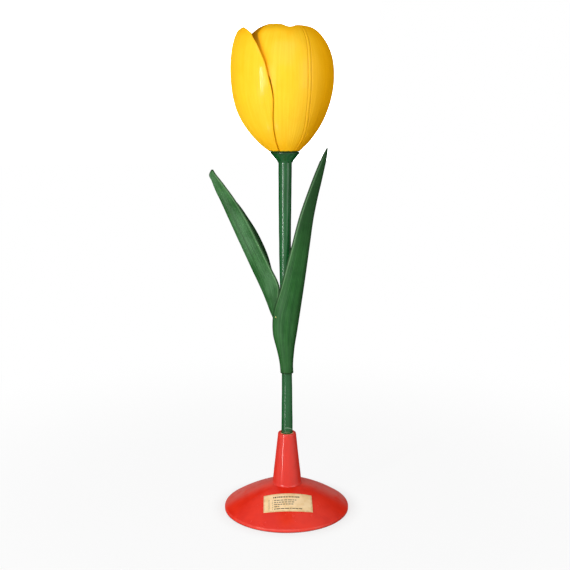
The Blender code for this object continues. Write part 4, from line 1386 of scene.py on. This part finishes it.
def makeOvaryPaint():
    startFinish("ovaryPaint")
    cloud = mottle(0.006, 4.0, 0.36, 0.66, stretch=(1, 1, 0.3))
    bump = (grain(0.0014, 3.0, (1, 1, 0.3)), 0.00005, 0.5)
    return endFinish(tint(cloud, ovaryPaint["light"], ovaryPaint["deep"]), 0.38, 0.35, bump=bump)


def makeStigmaPaint():
    startFinish("stigmaPaint")
    papillae = grain(0.0011)
    colour = tint(spread(papillae, 0.38, 0.60), stigmaPaint["fold"], stigmaPaint["crest"])
    return endFinish(colour, 0.55, 0.25, bump=(papillae, 0.00012, 0.7))


# Furrow between three lobes: a bell curve where the cosine of three times the turn is lowest
def threeFurrows(turns, width):
    return bell(1 - np.cos(3 * turns + pi), width)


def makePistil(ovaryFinish, stigmaFinish):
    s = pistilSizes
    foot = bossTop + s["clearance"]
    top = foot + s["height"]
    pinHole = pinSizes["pistilRadius"] + s["clearance"]
    pinTop = foot + s["pinLength"] - s["pinDepth"]
    pegHole = s["pegRadius"] + s["clearance"]
    shape = [(0, s["footRadius"]), (0.18, 0.86 * s["radius"]), (0.45, s["radius"]),
             (0.75, 0.94 * s["radius"]), (1, s["neckRadius"])]
    pegFloor = top - s["pegLength"] - s["clearance"]

    # Three rounded sides: the radius goes with the cosine of three times the turn, with a furrow between
    def threeSided(radius, height, turns):
        outer = (radius > pegHole + 0.0006) * easeBetween(foot, foot + 0.006, height)
        outer = outer * easeBetween(top, top - 0.006, height)
        sides = s["sides"] * (np.cos(3 * turns) - 0.5) - 0.05 * threeFurrows(turns, 0.10)
        return radius * (1 + outer * sides)

    makeTurned("ovary", [
        (0, pegFloor, 0),
        (pegHole, pegFloor, 0),
        (pegHole, top, 0.0001),
        *[(float(curveThrough(shape, share)), foot + share * s["height"], 0.0002)
          for share in np.linspace(1, 0, 40)],
        (pinHole, foot, 0),
        (pinHole, pinTop + s["clearance"], 0),
        (0, pinTop + s["clearance"], 0),
    ], s["ovaryCut"], ovaryFinish, "ovary_green", 50, threeSided, toFlower)

    base = top + s["clearance"]
    wide = s["stigmaRadius"]
    high = s["stigmaHeight"]

    # Three lobes, deeply parted above, with a wavy crest on each
    def parted(radius, height, turns):
        onLobes = radius > s["pegRadius"] + 0.0004
        outer = onLobes * easeBetween(base + 0.1 * high, base + 0.45 * high, height)
        crest = 0.035 * np.sin(21 * turns) + 0.02 * np.sin(33 * turns + 1.0)
        lobes = s["lobes"] * (np.cos(3 * turns) - 0.7) - 0.10 * threeFurrows(turns, 0.22)
        return radius * (1 + outer * (lobes + crest))

    makeTurned("stigma", [
        (0, base + 0.66 * high, 0),
        (0.30 * wide, base + 0.72 * high, 0.0012),
        (0.62 * wide, base + high, 0.0022),
        (0.96 * wide, base + 0.92 * high, 0.0022),
        (wide, base + 0.58 * high, 0.0020),
        (0.78 * wide, base + 0.26 * high, 0.0020),
        (s["neckRadius"], base, 0.0004),
        (s["pegRadius"], base, 0.0002),
        (s["pegRadius"], top - s["pegLength"], 0.0002),
        (0, top - s["pegLength"], 0),
    ], s["stigmaCut"], stigmaFinish, "stigma_cream", 60, parted, toFlower)


makePistil(makeOvaryPaint(), makeStigmaPaint())
print("pistil made")


# Camera: 60 mm lens, a little over a metre in front, looking down a little
cameraSetup = {"place": (-0.00258, -1.1614, 0.5140), "pitchDown": 10.779, "lens": 60.0, "sensor": 36.0}
cameraData = bpy.data.cameras.new("camera")
cameraData.lens = cameraSetup["lens"]
cameraData.sensor_width = cameraSetup["sensor"]
camera = addObject("camera", cameraData)
camera.location = cameraSetup["place"]
camera.rotation_euler = (radians(90 - cameraSetup["pitchDown"]), 0, 0)
bpy.context.scene.camera = camera


# Studio: soft lights round a pale floor in pale surroundings. A light has its azimuth, distance, height,
# size and power and the height it aims at. The low light shows in gloss only, as a line down the neck.
# A floor shade is its diffuse grey and its own glow.
studio = {
    "ambient": 0.28,
    "floorBounce": 0.62,
    "floorNear": (0.30, 0.655),
    "floorFar": (0.065, 0.900),
    "floorSize": 6.0,
    "floorBlend": (0.080, 0.102),
    "floorFade": (0.20, 0.80),
    "glossOnly": "lowLight",
    "lights": {
        "stripLight": (-42, 1.25, 0.35, (0.06, 0.70), 8.2, 0.36),
        "lowLight": (-42, 0.30, 0.044, (0.015, 0.084), 0.11, 0.07),
        "windowLight": (-25, 1.40, 0.50, (0.30, 0.8), 2.8, 0.36),
        "skyLight": (-6, 1.30, 1.50, (1.4, 1.4), 10.4, 0.30),
        "fillLight": (50, 1.50, 0.60, (1.0, 1.0), 5.6, 0.36),
        "backLight": (-168, 1.50, 0.90, (1.2, 1.2), 8.0, 0.30),
    },
}


def addSoftLight(name, azimuth, distance, height, size, power, aim):
    data = bpy.data.lights.new(name, "AREA")
    data.shape = "RECTANGLE"
    data.size, data.size_y = size
    data.energy = power
    light = addObject(name, data)
    light.location = (distance * sin(radians(azimuth)), -distance * cos(radians(azimuth)), height)
    light.rotation_mode = "QUATERNION"
    light.rotation_quaternion = (Vector((0, 0, aim)) - light.location).to_track_quat("-Z", "Y")
    light.visible_diffuse = light.visible_camera = name != studio["glossOnly"]


# One where a ray comes from the camera or from gloss or glass, which should all see the pale surroundings
def seenDirectly():
    path = addNode("LightPath").outputs
    return maths("MAXIMUM", maths("MAXIMUM", path["Is Camera Ray"], path["Is Glossy Ray"]),
                 path["Is Transmission Ray"])


def glow(strength):
    return addNode("Emission", {"Color": (1, 1, 1), "Strength": strength}).outputs["Emission"]


def diffuse(shade):
    return addNode("BsdfDiffuse", {"Color": (shade, shade, shade)}).outputs["BSDF"]


def blendShaders(amount, first, second):
    return addNode("MixShader", {0: amount, 1: first, 2: second}).outputs[0]


def makeFloor():
    s = studio
    half = s["floorSize"] / 2
    mesh = bpy.data.meshes.new("floor")
    corners = [(-half, -half, 0), (half, -half, 0), (half, half, 0), (-half, half, 0)]
    mesh.from_pydata(corners, [], [(0, 1, 2, 3)])
    floor = addObject("floor", mesh)
    startFinish("floorPaint")
    nodes = making["tree"].nodes
    nodes.remove(nodes["Principled BSDF"])
    reach = lengthOf(objectPlace())
    near, far = (addNode("AddShader", {0: diffuse(shade), 1: glow(light)}).outputs[0]
                 for shade, light in (s["floorNear"], s["floorFar"]))
    shown = blendShaders(spread(reach, *s["floorBlend"]), near, far)
    shown = blendShaders(spread(reach, *s["floorFade"]), shown, glow(1.0))
    shown = blendShaders(seenDirectly(), diffuse(s["floorBounce"]), shown)
    feed(nodes["Material Output"].inputs["Surface"], shown)
    mesh.materials.append(making["finish"])


def makeStudio():
    for name, light in studio["lights"].items():
        addSoftLight(name, *light)
    world = bpy.data.worlds.new("surroundings")
    world.use_nodes = True
    making["tree"] = world.node_tree
    background = world.node_tree.nodes["Background"]
    strength = addNode("MapRange", {"Value": seenDirectly(), "To Min": studio["ambient"], "To Max": 1.0})
    feed(background.inputs["Color"], (1, 1, 1))
    feed(background.inputs["Strength"], strength.outputs["Result"])
    bpy.context.scene.world = world
    makeFloor()


makeStudio()
bpy.context.scene.view_settings.view_transform = "Standard"
print("studio made")
